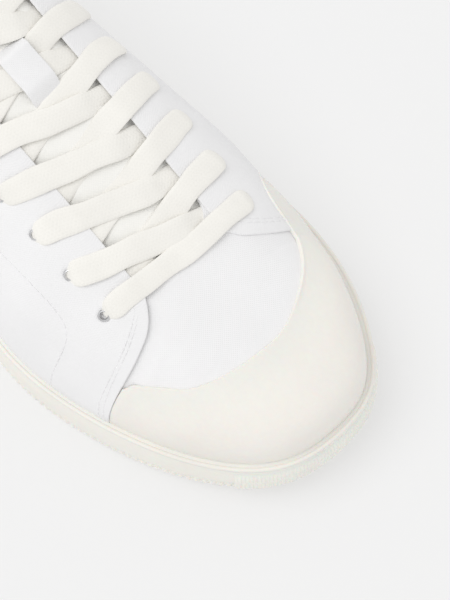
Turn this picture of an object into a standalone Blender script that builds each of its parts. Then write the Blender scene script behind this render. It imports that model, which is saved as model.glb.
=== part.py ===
"""Low canvas sneaker for the right foot, worked out from its last.

Sizes are in millimetres and become metres when a mesh is made. X runs from heel to toe, Y to the inner side of
the foot and Z up from the floor. The last is a family of ribs: each rib starts at the sole's edge, rises as a
wall behind the foxing, and then bends over to the ridge of the last as a quarter of a superellipse.
"""

import bmesh
import bpy
import numpy as np
from mathutils import Matrix, Vector

MM = 0.001

# The last: the ridge of the foot above the sole, and the two centres round which heel and toe turn.
HEEL_CENTRE_X = 35.0
TOE_CENTRE_X = 214.0
HEEL_GIRTH = 52.0
TOE_GIRTH = 76.0
HEEL_TURN_END = HEEL_GIRTH
TOE_TURN_START = HEEL_GIRTH + TOE_CENTRE_X - HEEL_CENTRE_X
TOE_END = TOE_TURN_START + TOE_GIRTH
RIGHT = -1
LEFT = 1

# Edge of the sole on the floor, from the back of the heel round the outer side, the toe and the inner side.
OUTLINE = (
    # place, x, y
    ("back of heel", 0.0, 0.0),
    ("heel corner, outer", 8.8, -20.4),
    ("heel, outer", 31.2, -32.6),
    ("quarter, outer", 70.3, -33.6),
    ("waist, outer", 109.3, -35.0),
    ("joint, outer", 146.0, -43.0),
    ("ball, outer", 177.3, -48.7),
    ("small toe", 202.8, -45.6),
    ("toe corner, outer", 225.5, -38.2),
    ("toe, outer", 245.1, -27.4),
    ("tip, outer", 259.0, -11.6),
    ("tip", 262.2, 4.8),
    ("tip, inner", 259.2, 20.8),
    ("toe, inner", 244.8, 34.4),
    ("toe corner, inner", 223.0, 43.2),
    ("ball, inner", 197.1, 45.3),
    ("joint, inner", 171.8, 42.6),
    ("waist front, inner", 142.5, 38.6),
    ("waist, inner", 109.3, 34.8),
    ("quarter, inner", 70.3, 32.4),
    ("heel, inner", 31.2, 31.8),
    ("heel corner, inner", 8.8, 19.5),
)

RIDGE = (
    # x, y, height over the floor, bend of the outer side, bend of the inner side
    (35.0, 0.5, 116.0, 2.6, 2.6),
    (60.0, 0.5, 113.0, 2.6, 2.6),
    (85.0, 1.0, 103.0, 2.6, 2.7),
    (104.0, 1.5, 93.5, 2.5, 2.8),
    (120.0, 2.0, 86.5, 2.5, 2.9),
    (140.0, 2.5, 78.5, 2.4, 3.0),
    (160.0, 3.0, 71.0, 2.4, 3.1),
    (180.0, 3.5, 63.0, 2.4, 3.1),
    (203.0, 3.5, 54.0, 2.4, 2.8),
    (214.0, 3.0, 50.0, 2.4, 2.5),
)

# Sole unit.
OUTSOLE_EDGE = 4.0
PLATFORM_HEIGHT = 8.0
TOE_SPRING = 8.0
TOE_SPRING_START = 179.0
ARCH_LIFT = 1.2
ARCH_SPAN = (84.0, 142.0)
OUTSOLE_BEVEL = 0.8
FOXING_WALL = 2.2
FOXING_BEVEL = 0.5
FOXING_SHOULDER = 1.0
FOXING_TOP = (
    # x, height over the sole's lower face
    (0.0, 26.0),
    (60.0, 23.5),
    (120.0, 21.5),
    (180.0, 20.5),
    (262.0, 20.5),
)
TOP_SPRING_SHARE = 0.4
BUMPER_WALL = 0.9
BUMPER_TOP_DROP = 4.0
BUMPER_FOOT = 0.8
BUMPER_START = 43.0
TREAD_DEPTH = 1.2
TREAD_WIDTH = 3.0
TREAD_PITCH = 10.5
TREAD_MARGIN = 7.0
TREAD_CHEVRON = 6.0
TREAD_SHORTEST = 16.0
TREAD_BELOW = -3.0

# Upper.
GAP = 0.3
INSIDE_GAP = 0.4
CANVAS_WALL = 1.8
UPPER_ROWS = 9
CAP_ROWS = 8
CAP_WALL = 1.4
CAP_GAP = 0.4
CAP_INSET_SPAN = (174.0, 197.0)
WALL_SHARE = 0.14
HEEL_BULGE = 1.8
HEEL_BULGE_END = 83.0
COLLAR_CORNER = 6.0
THROAT_FRONT = 199.5
THROAT_BACK = 104.0
THROAT_CENTRE_Y = 1.7
THROAT_HALF_GAP = 14.6
THROAT_NOSE = 9.0
THROAT_TIP = 2.0
TOPLINE = (
    # way along the sole's edge from the back of the heel, height over the floor
    (0.0, 75.0),
    (18.0, 73.5),
    (40.0, 66.0),
    (66.0, 61.5),
    (88.0, 64.0),
    (104.0, 72.0),
    (114.0, 80.5),
    (121.0, 88.4),
)
CAP_EDGE = (
    # turn from straight ahead in degrees, outer side negative, distance from the toe centre
    (-90.0, 34.0),
    (-78.0, 29.8),
    (-63.0, 26.6),
    (-48.0, 22.9),
    (-33.0, 20.2),
    (-5.0, 18.2),
    (24.0, 19.4),
    (52.0, 22.2),
    (73.0, 26.8),
    (90.0, 31.8),
)
CAP_BACK_X = {RIGHT: 212.0, LEFT: 199.5}
CAP_FALL_X = {RIGHT: 204.0, LEFT: 199.5}
CAP_FALL_BEND = 1.2
CAP_LOW_SHARE = 0.05

# Eyelets and lace.
ROWS = 7
FIRST_ROW_X = {RIGHT: 196.2, LEFT: 198.2}
ROW_PITCH = 14.0
EYELETS_Y = (
    # x, outer row, inner row
    (112.0, -25.0, 27.5),
    (126.0, -25.0, 29.0),
    (154.0, -25.0, 30.3),
    (182.0, -25.2, 29.8),
    (196.2, -25.2, 28.8),
)
EYELET_HOLE = 4.3
EYELET_BARREL = 5.4
EYELET_FLANGE = 6.2
EYELET_CROWN = 0.4
EYELET_RIM = 0.2
EYELET_SEAT = 0.1
EYELET_BELOW = 0.2
EYELET_SIDES = 8
HOLE_PIN_REACH = 4.5
LACE_WIDTH = 7.0
LACE_THICKNESS = 1.3
LACE_LIFT = 1.1
LACE_STEP = 0.06
LACE_START = 1.0
LACE_STATIONS = 13
LACE_LEAD = {RIGHT: -3.1, LEFT: -2.2}

# Tongue, its tab, and the footbed.
TONGUE_WALL = 2.0
TONGUE_HALF_WIDTH = (
    # x, half width
    (92.0, 25.0),
    (104.0, 30.0),
    (150.0, 28.0),
    (190.0, 26.0),
    (208.0, 22.0),
)
TONGUE_CORNER = 14.0
TONGUE_DROP = 2.4
TONGUE_STATIONS = (92.0, 93.5, 97.0, 102.0, 110.0, 122.0, 134.0, 147.0, 160.0, 172.0, 184.0, 196.0, 208.0)
TONGUE_ACROSS = (-1.0, -0.75, -0.45, -0.15, 0.15, 0.45, 0.75, 1.0)
KEEPER_Y = 0.4
KEEPER_HALF_WIDTH = 3.0
KEEPER_WALL = 0.8
KEEPER_PROFILE = (
    # x, raised over the lace
    (122.7, False),
    (126.4, False),
    (129.0, True),
    (135.0, True),
    (140.9, True),
    (143.3, False),
    (147.3, False),
)
FOOTBED_TOP = 11.5
FOOTBED_ROUND = 1.2

COLOURS = {
    # piece: red, green, blue, roughness, metallic
    "rubber": (0.84, 0.81, 0.73, 0.50, 0.0),
    "cap": (0.87, 0.84, 0.78, 0.45, 0.0),
    "canvas": (0.89, 0.89, 0.91, 0.90, 0.0),
    "lining": (0.86, 0.82, 0.76, 0.90, 0.0),
    "lace": (0.88, 0.85, 0.78, 0.85, 0.0),
    "eyelet": (0.55, 0.55, 0.57, 0.30, 1.0),
}


# ---------------------------------------------------------------- curves

def spline(knots, values, at):
    """Natural cubic spline through (knots, values), read at `at`."""
    knots, values, at = (np.asarray(a, float) for a in (knots, values, at))
    step = np.diff(knots)
    size = len(knots)
    matrix = np.eye(size)
    turn = np.zeros(size)
    for i in range(1, size - 1):
        matrix[i, i - 1:i + 2] = step[i - 1], 2 * (step[i - 1] + step[i]), step[i]
        turn[i] = 6 * ((values[i + 1] - values[i]) / step[i] - (values[i] - values[i - 1]) / step[i - 1])
    bend = np.linalg.solve(matrix, turn)
    k = np.clip(np.searchsorted(knots, at) - 1, 0, size - 2)
    h, a, b = step[k], knots[k + 1] - at, at - knots[k]
    return ((bend[k] * a ** 3 + bend[k + 1] * b ** 3) / (6 * h)
            + (values[k] / h - bend[k] * h / 6) * a + (values[k + 1] / h - bend[k + 1] * h / 6) * b)


def table(rows, column, at):
    """Column of a table, as a smooth curve over the table's first column, held level past its ends."""
    knots = [row[0] for row in rows]
    return spline(knots, [row[column] for row in rows], np.clip(at, knots[0], knots[-1]))


def ramp(x, start, end):
    """Smooth step from 0 at start to 1 at end."""
    t = np.clip((np.asarray(x, float) - start) / (end - start), 0, 1)
    return t * t * (3 - 2 * t)


def outline_curve(inset=0.0, count=720):
    """The sole's edge as a closed smooth curve, moved inwards by `inset`, a number or a function of x."""
    points = np.array([row[1:] for row in OUTLINE])
    wrapped = np.vstack([points[-4:], points, points[:5]])
    way = np.r_[0, np.cumsum(np.linalg.norm(np.diff(wrapped, axis=0), axis=1))]
    at = np.linspace(way[4], way[4 + len(points)], count, endpoint=False)
    curve = np.column_stack([spline(way, wrapped[:, k], at) for k in (0, 1)])
    run = np.roll(curve, -1, axis=0) - np.roll(curve, 1, axis=0)
    inward = np.column_stack([-run[:, 1], run[:, 0]]) / np.linalg.norm(run, axis=1)[:, None]
    amount = inset(curve[:, 0]) if callable(inset) else inset
    return curve + inward * np.reshape(amount, (-1, 1))


TOE_SLOPE_STEP = 0.5
TOE_SLOPE = float(table(RIDGE, 2, TOE_CENTRE_X) - table(RIDGE, 2, TOE_CENTRE_X - TOE_SLOPE_STEP)) / TOE_SLOPE_STEP
GIRTH_STEP = 0.05
SHARE_STEP = 0.002


# ---------------------------------------------------------------- ribs

def rib(side, girth):
    """Foot of a rib on the ridge line, and the level direction in which the rib runs out to the sole's edge."""
    girth = np.asarray(girth, float)
    x = np.clip(HEEL_CENTRE_X + girth - HEEL_TURN_END, HEEL_CENTRE_X, TOE_CENTRE_X)
    heel_turn = 90 * np.clip(1 - girth / HEEL_GIRTH, 0, 1)
    toe_turn = 90 * np.clip((girth - TOE_TURN_START) / TOE_GIRTH, 0, 1)
    angle = np.radians(90 + heel_turn - toe_turn)
    foot = np.stack([x, table(RIDGE, 1, x)], -1)
    return foot, np.stack([np.cos(angle), side * np.sin(angle)], -1)


def reach(curve, side, girth):
    """Level distance from each rib's foot to a closed curve."""
    foot, way = rib(side, np.ravel(girth))
    rel = curve[None] - foot[:, None]
    along = rel[..., 0] * way[:, None, 0] + rel[..., 1] * way[:, None, 1]
    across = rel[..., 0] * way[:, None, 1] - rel[..., 1] * way[:, None, 0]
    after = np.roll(across, -1, axis=1)
    crossed = (across * after <= 0) & (along > 0)
    i = np.argmax(crossed, axis=1)
    row = np.arange(len(i))
    share = across[row, i] / (across[row, i] - after[row, i])
    far = along[row, i] + share * (np.roll(along, -1, axis=1)[row, i] - along[row, i])
    return far.reshape(np.shape(girth))


def sole_lift(x):
    """Height of the sole's lower face: level at heel and ball, lifted a little at the arch, sprung at the toe."""
    tip = OUTLINE[11][1]
    spring = TOE_SPRING * (np.clip(x - TOE_SPRING_START, 0, None) / (tip - TOE_SPRING_START)) ** 2
    start, end = ARCH_SPAN
    arch = ARCH_LIFT * np.sin(np.pi * np.clip((x - start) / (end - start), 0, 1)) ** 2
    return spring + arch


def foxing_top(x):
    """Height of the foxing's rim over the floor."""
    spring = sole_lift(np.clip(x, TOE_SPRING_START, None))
    return table(FOXING_TOP, 1, x) + TOP_SPRING_SHARE * spring


def upper_inset(x):
    """The canvas stands inside the foxing, and further in where the rubber cap lies between them."""
    return FOXING_WALL + GAP + (CAP_WALL + CAP_GAP) * ramp(x, *CAP_INSET_SPAN)


def inside_upper(x):
    """Platform and footbed fill the space inside the canvas, with a little room."""
    return upper_inset(x) + CANVAS_WALL + INSIDE_GAP


UPPER_CURVE = outline_curve(upper_inset)
GIRTHS = np.arange(0.0, TOE_END + 0.5, 1.0)
UPPER_REACH = {side: reach(UPPER_CURVE, side, GIRTHS) for side in (RIGHT, LEFT)}


def last_frame(side, girth):
    """What every point of a rib needs: foot, direction, reach, edge height, ridge height and bend."""
    foot, way = rib(side, girth)
    far = np.interp(girth, GIRTHS, UPPER_REACH[side])
    x = foot[..., 0]
    low = foxing_top(x + far * way[..., 0])
    high = table(RIDGE, 2, x)
    outer, inner = table(RIDGE, 3, x), table(RIDGE, 4, x)
    nose = np.clip(way[..., 0], 0, 1) ** 2
    bend = (outer if side == RIGHT else inner) * (1 - nose) + 0.5 * (outer + inner) * nose
    return foot, way, far, low, high, bend


def surface(side, girth, share):
    """Point of the upper's outer face. Share 0 is the sole's edge, WALL_SHARE the foxing's rim, 1 the ridge.
    From the rim on, reach and height follow a quarter of a superellipse, and in front of the toe centre the
    ridge's slope runs on through the top of the curve."""
    girth, share = np.broadcast_arrays(np.asarray(girth, float), np.asarray(share, float))
    foot, way, far, low, high, bend = last_frame(side, girth)
    turn = np.clip((share - WALL_SHARE) / (1 - WALL_SHARE), 0, 1) * np.pi / 2
    out = np.cos(turn) ** (2 / bend)
    rise = np.sin(turn) ** (2 / bend)
    back = ramp(girth, HEEL_BULGE_END, 0.0)
    level = far * out + HEEL_BULGE * back * np.sin(2 * np.pi * rise)
    flat = foot + way * level[..., None]
    floor = sole_lift(foot[..., 0] + far * way[..., 0]) + OUTSOLE_EDGE + GAP
    wall = floor + (low - floor) * np.clip(share / WALL_SHARE, 0, 1)
    ahead = level * np.clip(way[..., 0], 0, 1)
    over = low + (high - low) * rise + TOE_SLOPE * ahead * np.sin(turn) ** 2
    return np.concatenate([flat, np.where(share < WALL_SHARE, wall, over)[..., None]], -1)


def offset_surface(side, girth, share, off):
    """Upper's outer face moved out along its own normal."""
    girth, share = np.broadcast_arrays(np.asarray(girth, float), np.asarray(share, float))
    safe = np.clip(share, SHARE_STEP, 1 - 3 * SHARE_STEP)
    inside = np.clip(girth, GIRTH_STEP, TOE_END - GIRTH_STEP)
    along = surface(side, inside + GIRTH_STEP, safe) - surface(side, inside - GIRTH_STEP, safe)
    up = surface(side, inside, safe + SHARE_STEP) - surface(side, inside, safe - SHARE_STEP)
    normal = np.cross(along, up) * -side
    normal /= np.linalg.norm(normal, axis=-1, keepdims=True)
    ends = (girth <= 0) | (girth >= TOE_END)
    normal[..., 1] = np.where(ends, 0.0, normal[..., 1])
    return surface(side, girth, share) + normal * np.reshape(off, np.shape(off) + (1,))


def girth_at(x):
    """Rib whose foot lies at x, between the heel's centre and the toe's."""
    return np.asarray(x, float) - HEEL_CENTRE_X + HEEL_TURN_END


def share_at_reach(side, girth, level):
    """Share of a rib at a level distance from its foot."""
    frame = last_frame(side, girth)
    far, bend = frame[2], frame[5]
    turn = np.arccos(np.clip(level / far, 0, 1) ** (bend / 2))
    return WALL_SHARE + (1 - WALL_SHARE) * turn / (np.pi / 2)


def share_at_height(side, girth, height):
    """Share of a rib at a height over the floor, behind the toe centre."""
    frame = last_frame(side, girth)
    low, high, bend = frame[3], frame[4], frame[5]
    turn = np.arcsin(np.clip((height - low) / (high - low), 0, 1) ** (bend / 2))
    return WALL_SHARE + (1 - WALL_SHARE) * turn / (np.pi / 2)


def on_upper(x, y, off=0.0):
    """Point over plan place (x, y), a distance `off` out from the upper's face, for x between the centres."""
    x, y = np.broadcast_arrays(np.asarray(x, float), np.asarray(y, float))
    girth = girth_at(x)
    across = y - table(RIDGE, 1, x)
    point = np.empty(x.shape + (3,))
    for side in (RIGHT, LEFT):
        mine = (across * side > 0) | ((across == 0) & (side == LEFT))
        share = share_at_reach(side, girth, np.abs(across))
        point[mine] = offset_surface(side, girth, share, np.broadcast_to(off, x.shape))[mine]
    return point


def opening_share(side, girth):
    """Share at which each rib meets the throat's edge or the topline; 1 where the vamp is closed."""
    x = rib(side, girth)[0][..., 0]
    nose = np.clip((THROAT_FRONT - x) / THROAT_NOSE, 0, 1)
    drift = (THROAT_CENTRE_Y - table(RIDGE, 1, x)) / THROAT_HALF_GAP
    edge = THROAT_HALF_GAP * np.sqrt(1 - (1 - nose) ** 2) * (1 + side * drift)
    throat = np.where(nose > 0, share_at_reach(side, girth, edge), 1.0)
    collar = share_at_height(side, girth, table(TOPLINE, 1, girth))
    return np.where(x > THROAT_BACK, throat, collar)


# ---------------------------------------------------------------- meshes

PLAN_EDGE = outline_curve(0.0)
SHIFT = np.array([
    -(PLAN_EDGE[:, 0].min() + PLAN_EDGE[:, 0].max() + BUMPER_WALL) / 2,
    -(PLAN_EDGE[:, 1].min() + PLAN_EDGE[:, 1].max()) / 2,
    0.0,
])


def material(name, finish):
    """Principled material with a colour, roughness and metallic value."""
    made = bpy.data.materials.new(name)
    made.use_nodes = True
    red, green, blue, rough, metal = COLOURS[finish]
    shader = made.node_tree.nodes["Principled BSDF"]
    shader.inputs["Base Color"].default_value = (red, green, blue, 1)
    shader.inputs["Roughness"].default_value = rough
    shader.inputs["Metallic"].default_value = metal
    made.diffuse_color = (red, green, blue, 1)
    return made


def to_object(name, mesh_data, finish, shift=SHIFT):
    """Object from (points in millimetres, faces), welded, with its faces pointing out."""
    points, faces = mesh_data
    work = bmesh.new()
    corners = [work.verts.new(p) for p in (np.asarray(points) + shift) * MM]
    for face in faces:
        loop = [corners[i] for i in face]
        work.faces.new(loop)
    bmesh.ops.remove_doubles(work, verts=work.verts, dist=2e-6)
    bmesh.ops.recalc_face_normals(work, faces=work.faces)
    mesh = bpy.data.meshes.new(name)
    work.to_mesh(mesh)
    work.free()
    mesh.shade_smooth()
    mesh.set_sharp_from_angle(angle=np.radians(35))
    made = bpy.data.objects.new(name, mesh)
    bpy.context.scene.collection.objects.link(made)
    if finish:
        mesh.materials.append(material(name, finish))
    return made


def loft(rows, ring=True, tube=True, open_rim=None):
    """Faces over rows of points (rib, place on the profile). A ring joins the last rib to the first, a tube the
    last place to the first; open_rim is (place, closed ribs): no face joins that place to the next there."""
    ribs, places = rows.shape[:2]
    faces = []
    for i in range(ribs if ring else ribs - 1):
        j = (i + 1) % ribs
        for k in range(places if tube else places - 1):
            m = (k + 1) % places
            if open_rim and k == open_rim[0] and open_rim[1][i] and open_rim[1][j]:
                continue
            faces.append((i * places + k, j * places + k, j * places + m, i * places + m))
    if not ring:
        faces.append(tuple(range(places)))
        faces.append(tuple((ribs - 1) * places + k for k in reversed(range(places))))
    return rows.reshape(-1, 3), faces


def round_shoe(girths):
    """Ribs in order round the shoe: up the outer side from the heel, round the toe and back on the inner side."""
    return [(RIGHT, g) for g in girths] + [(LEFT, g) for g in girths[-2:0:-1]]


def spread(*spans):
    """Rib places: each span is (start, end, number of steps)."""
    places = [np.linspace(a, b, n, endpoint=False) for a, b, n in spans]
    return np.append(np.concatenate(places), spans[-1][1])


def joined(meshes):
    """One (points, faces) pair from several."""
    points, faces = [], []
    for part_points, part_faces in meshes:
        faces += [tuple(i + len(points) for i in face) for face in part_faces]
        points += list(part_points)
    return points, faces


def bind_cutter(target, cutter, operation):
    """Boolean between an object and a helper that is hidden from renders."""
    cutter.hide_render = True
    cutter.display_type = "WIRE"
    cut = target.modifiers.new(cutter.name, "BOOLEAN")
    cut.operation = operation
    cut.object = cutter


SOLE_GIRTHS = spread((0, HEEL_TURN_END, 7), (HEEL_TURN_END, TOE_TURN_START, 13), (TOE_TURN_START, TOE_END, 11))
UPPER_GIRTHS = spread(
    (0, HEEL_TURN_END, 7),
    (HEEL_TURN_END, girth_at(THROAT_BACK - COLLAR_CORNER), 6),
    (girth_at(THROAT_BACK - COLLAR_CORNER), girth_at(THROAT_BACK), 2),
    (girth_at(THROAT_BACK), girth_at(THROAT_FRONT - THROAT_NOSE), 8),
    (girth_at(THROAT_FRONT - THROAT_NOSE), girth_at(THROAT_FRONT - THROAT_TIP), 3),
    (girth_at(THROAT_FRONT - THROAT_TIP), girth_at(THROAT_FRONT), 1),
    (girth_at(THROAT_FRONT), girth_at(CAP_BACK_X[RIGHT]), 3),
    (girth_at(CAP_BACK_X[RIGHT]), TOE_TURN_START, 1),
    (TOE_TURN_START, TOE_END, 11),
)


def plan_points(ribs, inset, share=1.0):
    """Plan place of each (side, girth) rib, a share of the way out to the sole's edge moved in by `inset`."""
    curve = outline_curve(inset)
    places = []
    for side, g in ribs:
        foot, way = rib(side, g)
        places.append(foot + way * reach(curve, side, g) * share)
    return np.array(places)


def plate(levels):
    """Closed plate over the sole's ribs. Levels run from the middle below, round the edge, to the middle above:
    (inset of the edge, share of the way out to it, height as a function of x)."""
    ribs = round_shoe(SOLE_GIRTHS)
    rows = []
    for inset, share, height in levels:
        flat = plan_points(ribs, inset, share)
        rows.append(np.column_stack([flat, height(flat[:, 0])]))
    return loft(np.stack(rows, axis=1), tube=False)


def above_sole(rise):
    """Height function: a distance over the sole's lower face."""
    return lambda x: sole_lift(x) + rise


# ---------------------------------------------------------------- pieces

def tread_grooves():
    """Chevron bars across the sole, inside a plain border, reaching a little way up into it."""
    edge = outline_curve(TREAD_MARGIN)
    bars = []
    for x in np.arange(edge[:, 0].min() + TREAD_MARGIN, edge[:, 0].max() - TREAD_MARGIN, TREAD_PITCH):
        near = edge[np.abs(edge[:, 0] - x) < TREAD_WIDTH][:, 1]
        low, high = near.min(), near.max()
        if high - low < TREAD_SHORTEST:
            continue
        middle = float(table(RIDGE, 1, x))
        sections = []
        for y, back in ((low, x), (middle, x + TREAD_CHEVRON), (high, x)):
            front = back + TREAD_WIDTH
            top = float(sole_lift(back)) + TREAD_DEPTH
            sections.append([(back, y, TREAD_BELOW), (front, y, TREAD_BELOW), (front, y, top), (back, y, top)])
        bars.append(loft(np.array(sections), ring=False))
    return joined(bars)


def make_outsole():
    """Flat rubber plate with a raised platform inside the foxing and chevron grooves below."""
    levels = (
        (0.0, 0.0, above_sole(0)),
        (0.0, 0.5, above_sole(0)),
        (OUTSOLE_BEVEL, 1.0, above_sole(0)),
        (0.0, 1.0, above_sole(OUTSOLE_BEVEL)),
        (0.0, 1.0, above_sole(OUTSOLE_EDGE)),
        (inside_upper, 1.0, above_sole(OUTSOLE_EDGE)),
        (inside_upper, 1.0, above_sole(PLATFORM_HEIGHT)),
        (inside_upper, 0.5, above_sole(PLATFORM_HEIGHT)),
        (inside_upper, 0.0, above_sole(PLATFORM_HEIGHT)),
    )
    outsole = to_object("outsole", plate(levels), "rubber")
    bind_cutter(outsole, to_object("tread_cutter", tread_grooves(), None), "DIFFERENCE")


def footbed_rim(x):
    """Inset of the footbed's top face, inside its rounded edge."""
    return inside_upper(x) + FOOTBED_ROUND


def make_insole():
    """Foam footbed inside the upper, on the platform."""
    levels = (
        (inside_upper, 0.0, above_sole(PLATFORM_HEIGHT + GAP)),
        (inside_upper, 0.5, above_sole(PLATFORM_HEIGHT + GAP)),
        (inside_upper, 1.0, above_sole(PLATFORM_HEIGHT + GAP)),
        (inside_upper, 1.0, above_sole(FOOTBED_TOP - FOOTBED_ROUND)),
        (footbed_rim, 1.0, above_sole(FOOTBED_TOP)),
        (footbed_rim, 0.5, above_sole(FOOTBED_TOP)),
        (footbed_rim, 0.0, above_sole(FOOTBED_TOP)),
    )
    to_object("insole", plate(levels), "lining")


def make_foxing():
    """Rubber band round the sole, standing on the outsole's border, with its top edge rounded."""
    section = (
        # inset from the edge, drop below the rim; the foot of the band has none
        (0.0, None),
        (0.0, FOXING_SHOULDER),
        (FOXING_BEVEL, 0.0),
        (FOXING_WALL - FOXING_BEVEL, 0.0),
        (FOXING_WALL, FOXING_SHOULDER),
        (FOXING_WALL, None),
    )
    ribs = round_shoe(SOLE_GIRTHS)
    rows = []
    for inset, drop in section:
        flat = plan_points(ribs, inset)
        x = flat[:, 0]
        height = sole_lift(x) + OUTSOLE_EDGE + GAP if drop is None else foxing_top(x) - drop
        rows.append(np.column_stack([flat, height]))
    to_object("foxing", loft(np.stack(rows, axis=1)), "rubber")


def make_toe_bumper():
    """Thin strip round the front of the toe, outside foxing and outsole."""
    girths = SOLE_GIRTHS[SOLE_GIRTHS >= TOE_TURN_START + BUMPER_START]
    ribs = [(RIGHT, g) for g in girths] + [(LEFT, g) for g in girths[-2::-1]]
    rows = []
    for inset, top in ((-GAP, False), (-GAP, True), (-BUMPER_WALL, True), (-BUMPER_WALL, False)):
        flat = plan_points(ribs, inset)
        x = flat[:, 0]
        height = foxing_top(x) - BUMPER_TOP_DROP if top else sole_lift(x) + BUMPER_FOOT
        rows.append(np.column_stack([flat, height]))
    to_object("toe_bumper", loft(np.stack(rows, axis=1), ring=False), "rubber")


def make_upper():
    """Hollow canvas shell: outer face up to the opening's edge, then the inner face down again, with a round
    hole for each eyelet. Where the vamp is closed, both sides meet on the ridge and no rim is left."""
    ribs = round_shoe(UPPER_GIRTHS)
    rows, closed = [], []
    for side, g in ribs:
        end = float(opening_share(side, g))
        share = np.r_[0, np.linspace(WALL_SHARE, end, UPPER_ROWS)]
        outer = offset_surface(side, g, share, np.zeros(len(share)))
        inner = offset_surface(side, g, share, np.full(len(share), -CANVAS_WALL))
        closed.append(end == 1.0)
        if closed[-1]:
            inner[-1] = outer[-1] - (0, 0, CANVAS_WALL)
        rows.append(np.vstack([outer, inner[::-1]]))
    upper = to_object("upper", loft(np.array(rows), open_rim=(UPPER_ROWS, closed)), "canvas")
    bind_cutter(upper, to_object("hole_cutter", eyelet_pins(), None), "DIFFERENCE")


def eyelet_places():
    """Row, side, point and outward normal of each eyelet."""
    places = []
    for row in range(ROWS):
        for side, column in ((RIGHT, 1), (LEFT, 2)):
            x = FIRST_ROW_X[side] - ROW_PITCH * row
            y = float(table(EYELETS_Y, column, x))
            point = on_upper(x, y)
            normal = on_upper(x, y, 1.0) - point
            places.append((row + 1, side, point, normal / np.linalg.norm(normal)))
    return places


def placed(point, normal):
    """Matrix that carries a piece drawn along Z to a point in the shoe, with its axis on the normal."""
    turn = Vector((0, 0, 1)).rotation_difference(Vector(normal)).to_matrix().to_4x4()
    return Matrix.Translation(Vector((np.asarray(point) + SHIFT) * MM)) @ turn


def turned(profile):
    """Ring turned round Z from (radius, height) pairs."""
    angle = np.arange(EYELET_SIDES) * 2 * np.pi / EYELET_SIDES
    return np.array([[(r * np.cos(a), r * np.sin(a), z) for r, z in profile] for a in angle])


def eyelet_pins():
    """Round pins through both facings, one for each eyelet."""
    radius = EYELET_BARREL / 2 + GAP
    pin, faces = loft(turned((
        (0, -HOLE_PIN_REACH),
        (radius, -HOLE_PIN_REACH),
        (radius, HOLE_PIN_REACH),
        (0, HOLE_PIN_REACH),
    )), tube=False)
    turns = [(np.array(placed(point, normal).to_3x3()), point) for _, _, point, normal in eyelet_places()]
    return joined((pin @ turn.T + point, faces) for turn, point in turns)


def make_eyelets():
    """Two rows of small metal rings: a barrel through the canvas with a thin flange on top."""
    hole, barrel, flange = EYELET_HOLE / 2, EYELET_BARREL / 2, EYELET_FLANGE / 2
    foot = -CANVAS_WALL - EYELET_BELOW
    profile = (
        (hole, foot),
        (hole, EYELET_CROWN),
        (flange, EYELET_RIM),
        (flange, EYELET_SEAT),
        (barrel, EYELET_SEAT),
        (barrel, foot),
    )
    ring = to_object("eyelet_outer_1", loft(turned(profile)), "eyelet", shift=np.zeros(3))
    for row, side, point, normal in eyelet_places():
        name = f"eyelet_{'outer' if side == RIGHT else 'inner'}_{row}"
        made = ring
        if name != ring.name:
            made = bpy.data.objects.new(name, ring.data)
            bpy.context.scene.collection.objects.link(made)
        made.matrix_world = placed(point, normal)


def make_toe_cap():
    """Rubber cap: the part of the last in front of the cap's edge, between two faces outside the canvas."""
    outer_side, inner_side = ([(side, g) for g in UPPER_GIRTHS if g >= girth_at(CAP_BACK_X[side])]
                              for side in (RIGHT, LEFT))
    rows = []
    for side, g in outer_side + inner_side[-2::-1]:
        end = cap_edge_share(side, g)
        share = np.r_[CAP_LOW_SHARE * WALL_SHARE, np.linspace(WALL_SHARE, end, CAP_ROWS)]
        outer = offset_surface(side, g, share, np.full(len(share), CAP_GAP + CAP_WALL))
        inner = offset_surface(side, g, share, np.full(len(share), CAP_GAP))
        rows.append(np.vstack([outer, inner[::-1]]))
    to_object("toe_cap", loft(np.array(rows), ring=False), "cap")


def cap_edge_share(side, girth):
    """Share of a rib at the cap's rear edge, which falls to the foxing behind the toe centre."""
    foot, way = rib(side, girth)
    if girth >= TOE_TURN_START:
        angle = np.degrees(np.arctan2(way[1], way[0]))
        return float(share_at_reach(side, girth, table(CAP_EDGE, 1, angle)))
    top = cap_edge_share(side, TOE_TURN_START)
    low = WALL_SHARE * (1 + CAP_LOW_SHARE)
    fall = (TOE_CENTRE_X - foot[0]) / (TOE_CENTRE_X - CAP_FALL_X[side])
    return float(low + (top - low) * (1 - fall) ** CAP_FALL_BEND)


def make_tongue():
    """Canvas tongue under the facings, from under the vamp to above the collar, with a round top."""
    rows = []
    across = np.array(TONGUE_ACROSS)
    for x in TONGUE_STATIONS:
        corner = 1 - np.clip((x - TONGUE_STATIONS[0]) / TONGUE_CORNER, 0, 1)
        half = float(table(TONGUE_HALF_WIDTH, 1, x)) - TONGUE_CORNER * (1 - np.sqrt(1 - corner ** 2))
        y = THROAT_CENTRE_Y + half * across
        top = on_upper(np.full(len(y), x), y, np.full(len(y), -TONGUE_DROP))
        low = on_upper(np.full(len(y), x), y, np.full(len(y), -TONGUE_DROP - TONGUE_WALL))
        rows.append(np.vstack([top, low[::-1]]))
    to_object("tongue", loft(np.array(rows), ring=False), "lining")


def lace_runs():
    """Level start and end of each stretch of lace, and its height over the upper: the straight bar, then two
    stretches a row. A stretch comes out from under one facing, a little behind the eyelet of the row before,
    and goes down into its own row's eyelet on the other side."""
    spots = {(row, side): point[:2] for row, side, point, _ in eyelet_places()}
    runs = [(spots[1, RIGHT], spots[1, LEFT], LACE_LIFT + 2 * LACE_STEP)]
    for row in range(2, ROWS + 1):
        for side in (RIGHT, LEFT):
            edge = THROAT_CENTRE_Y - side * (THROAT_HALF_GAP - LACE_START)
            start = np.array([spots[row - 1, -side][0] + LACE_LEAD[-side], edge])
            runs.append((start, spots[row, side], LACE_LIFT + LACE_STEP * (side == LEFT)))
    return runs


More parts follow.
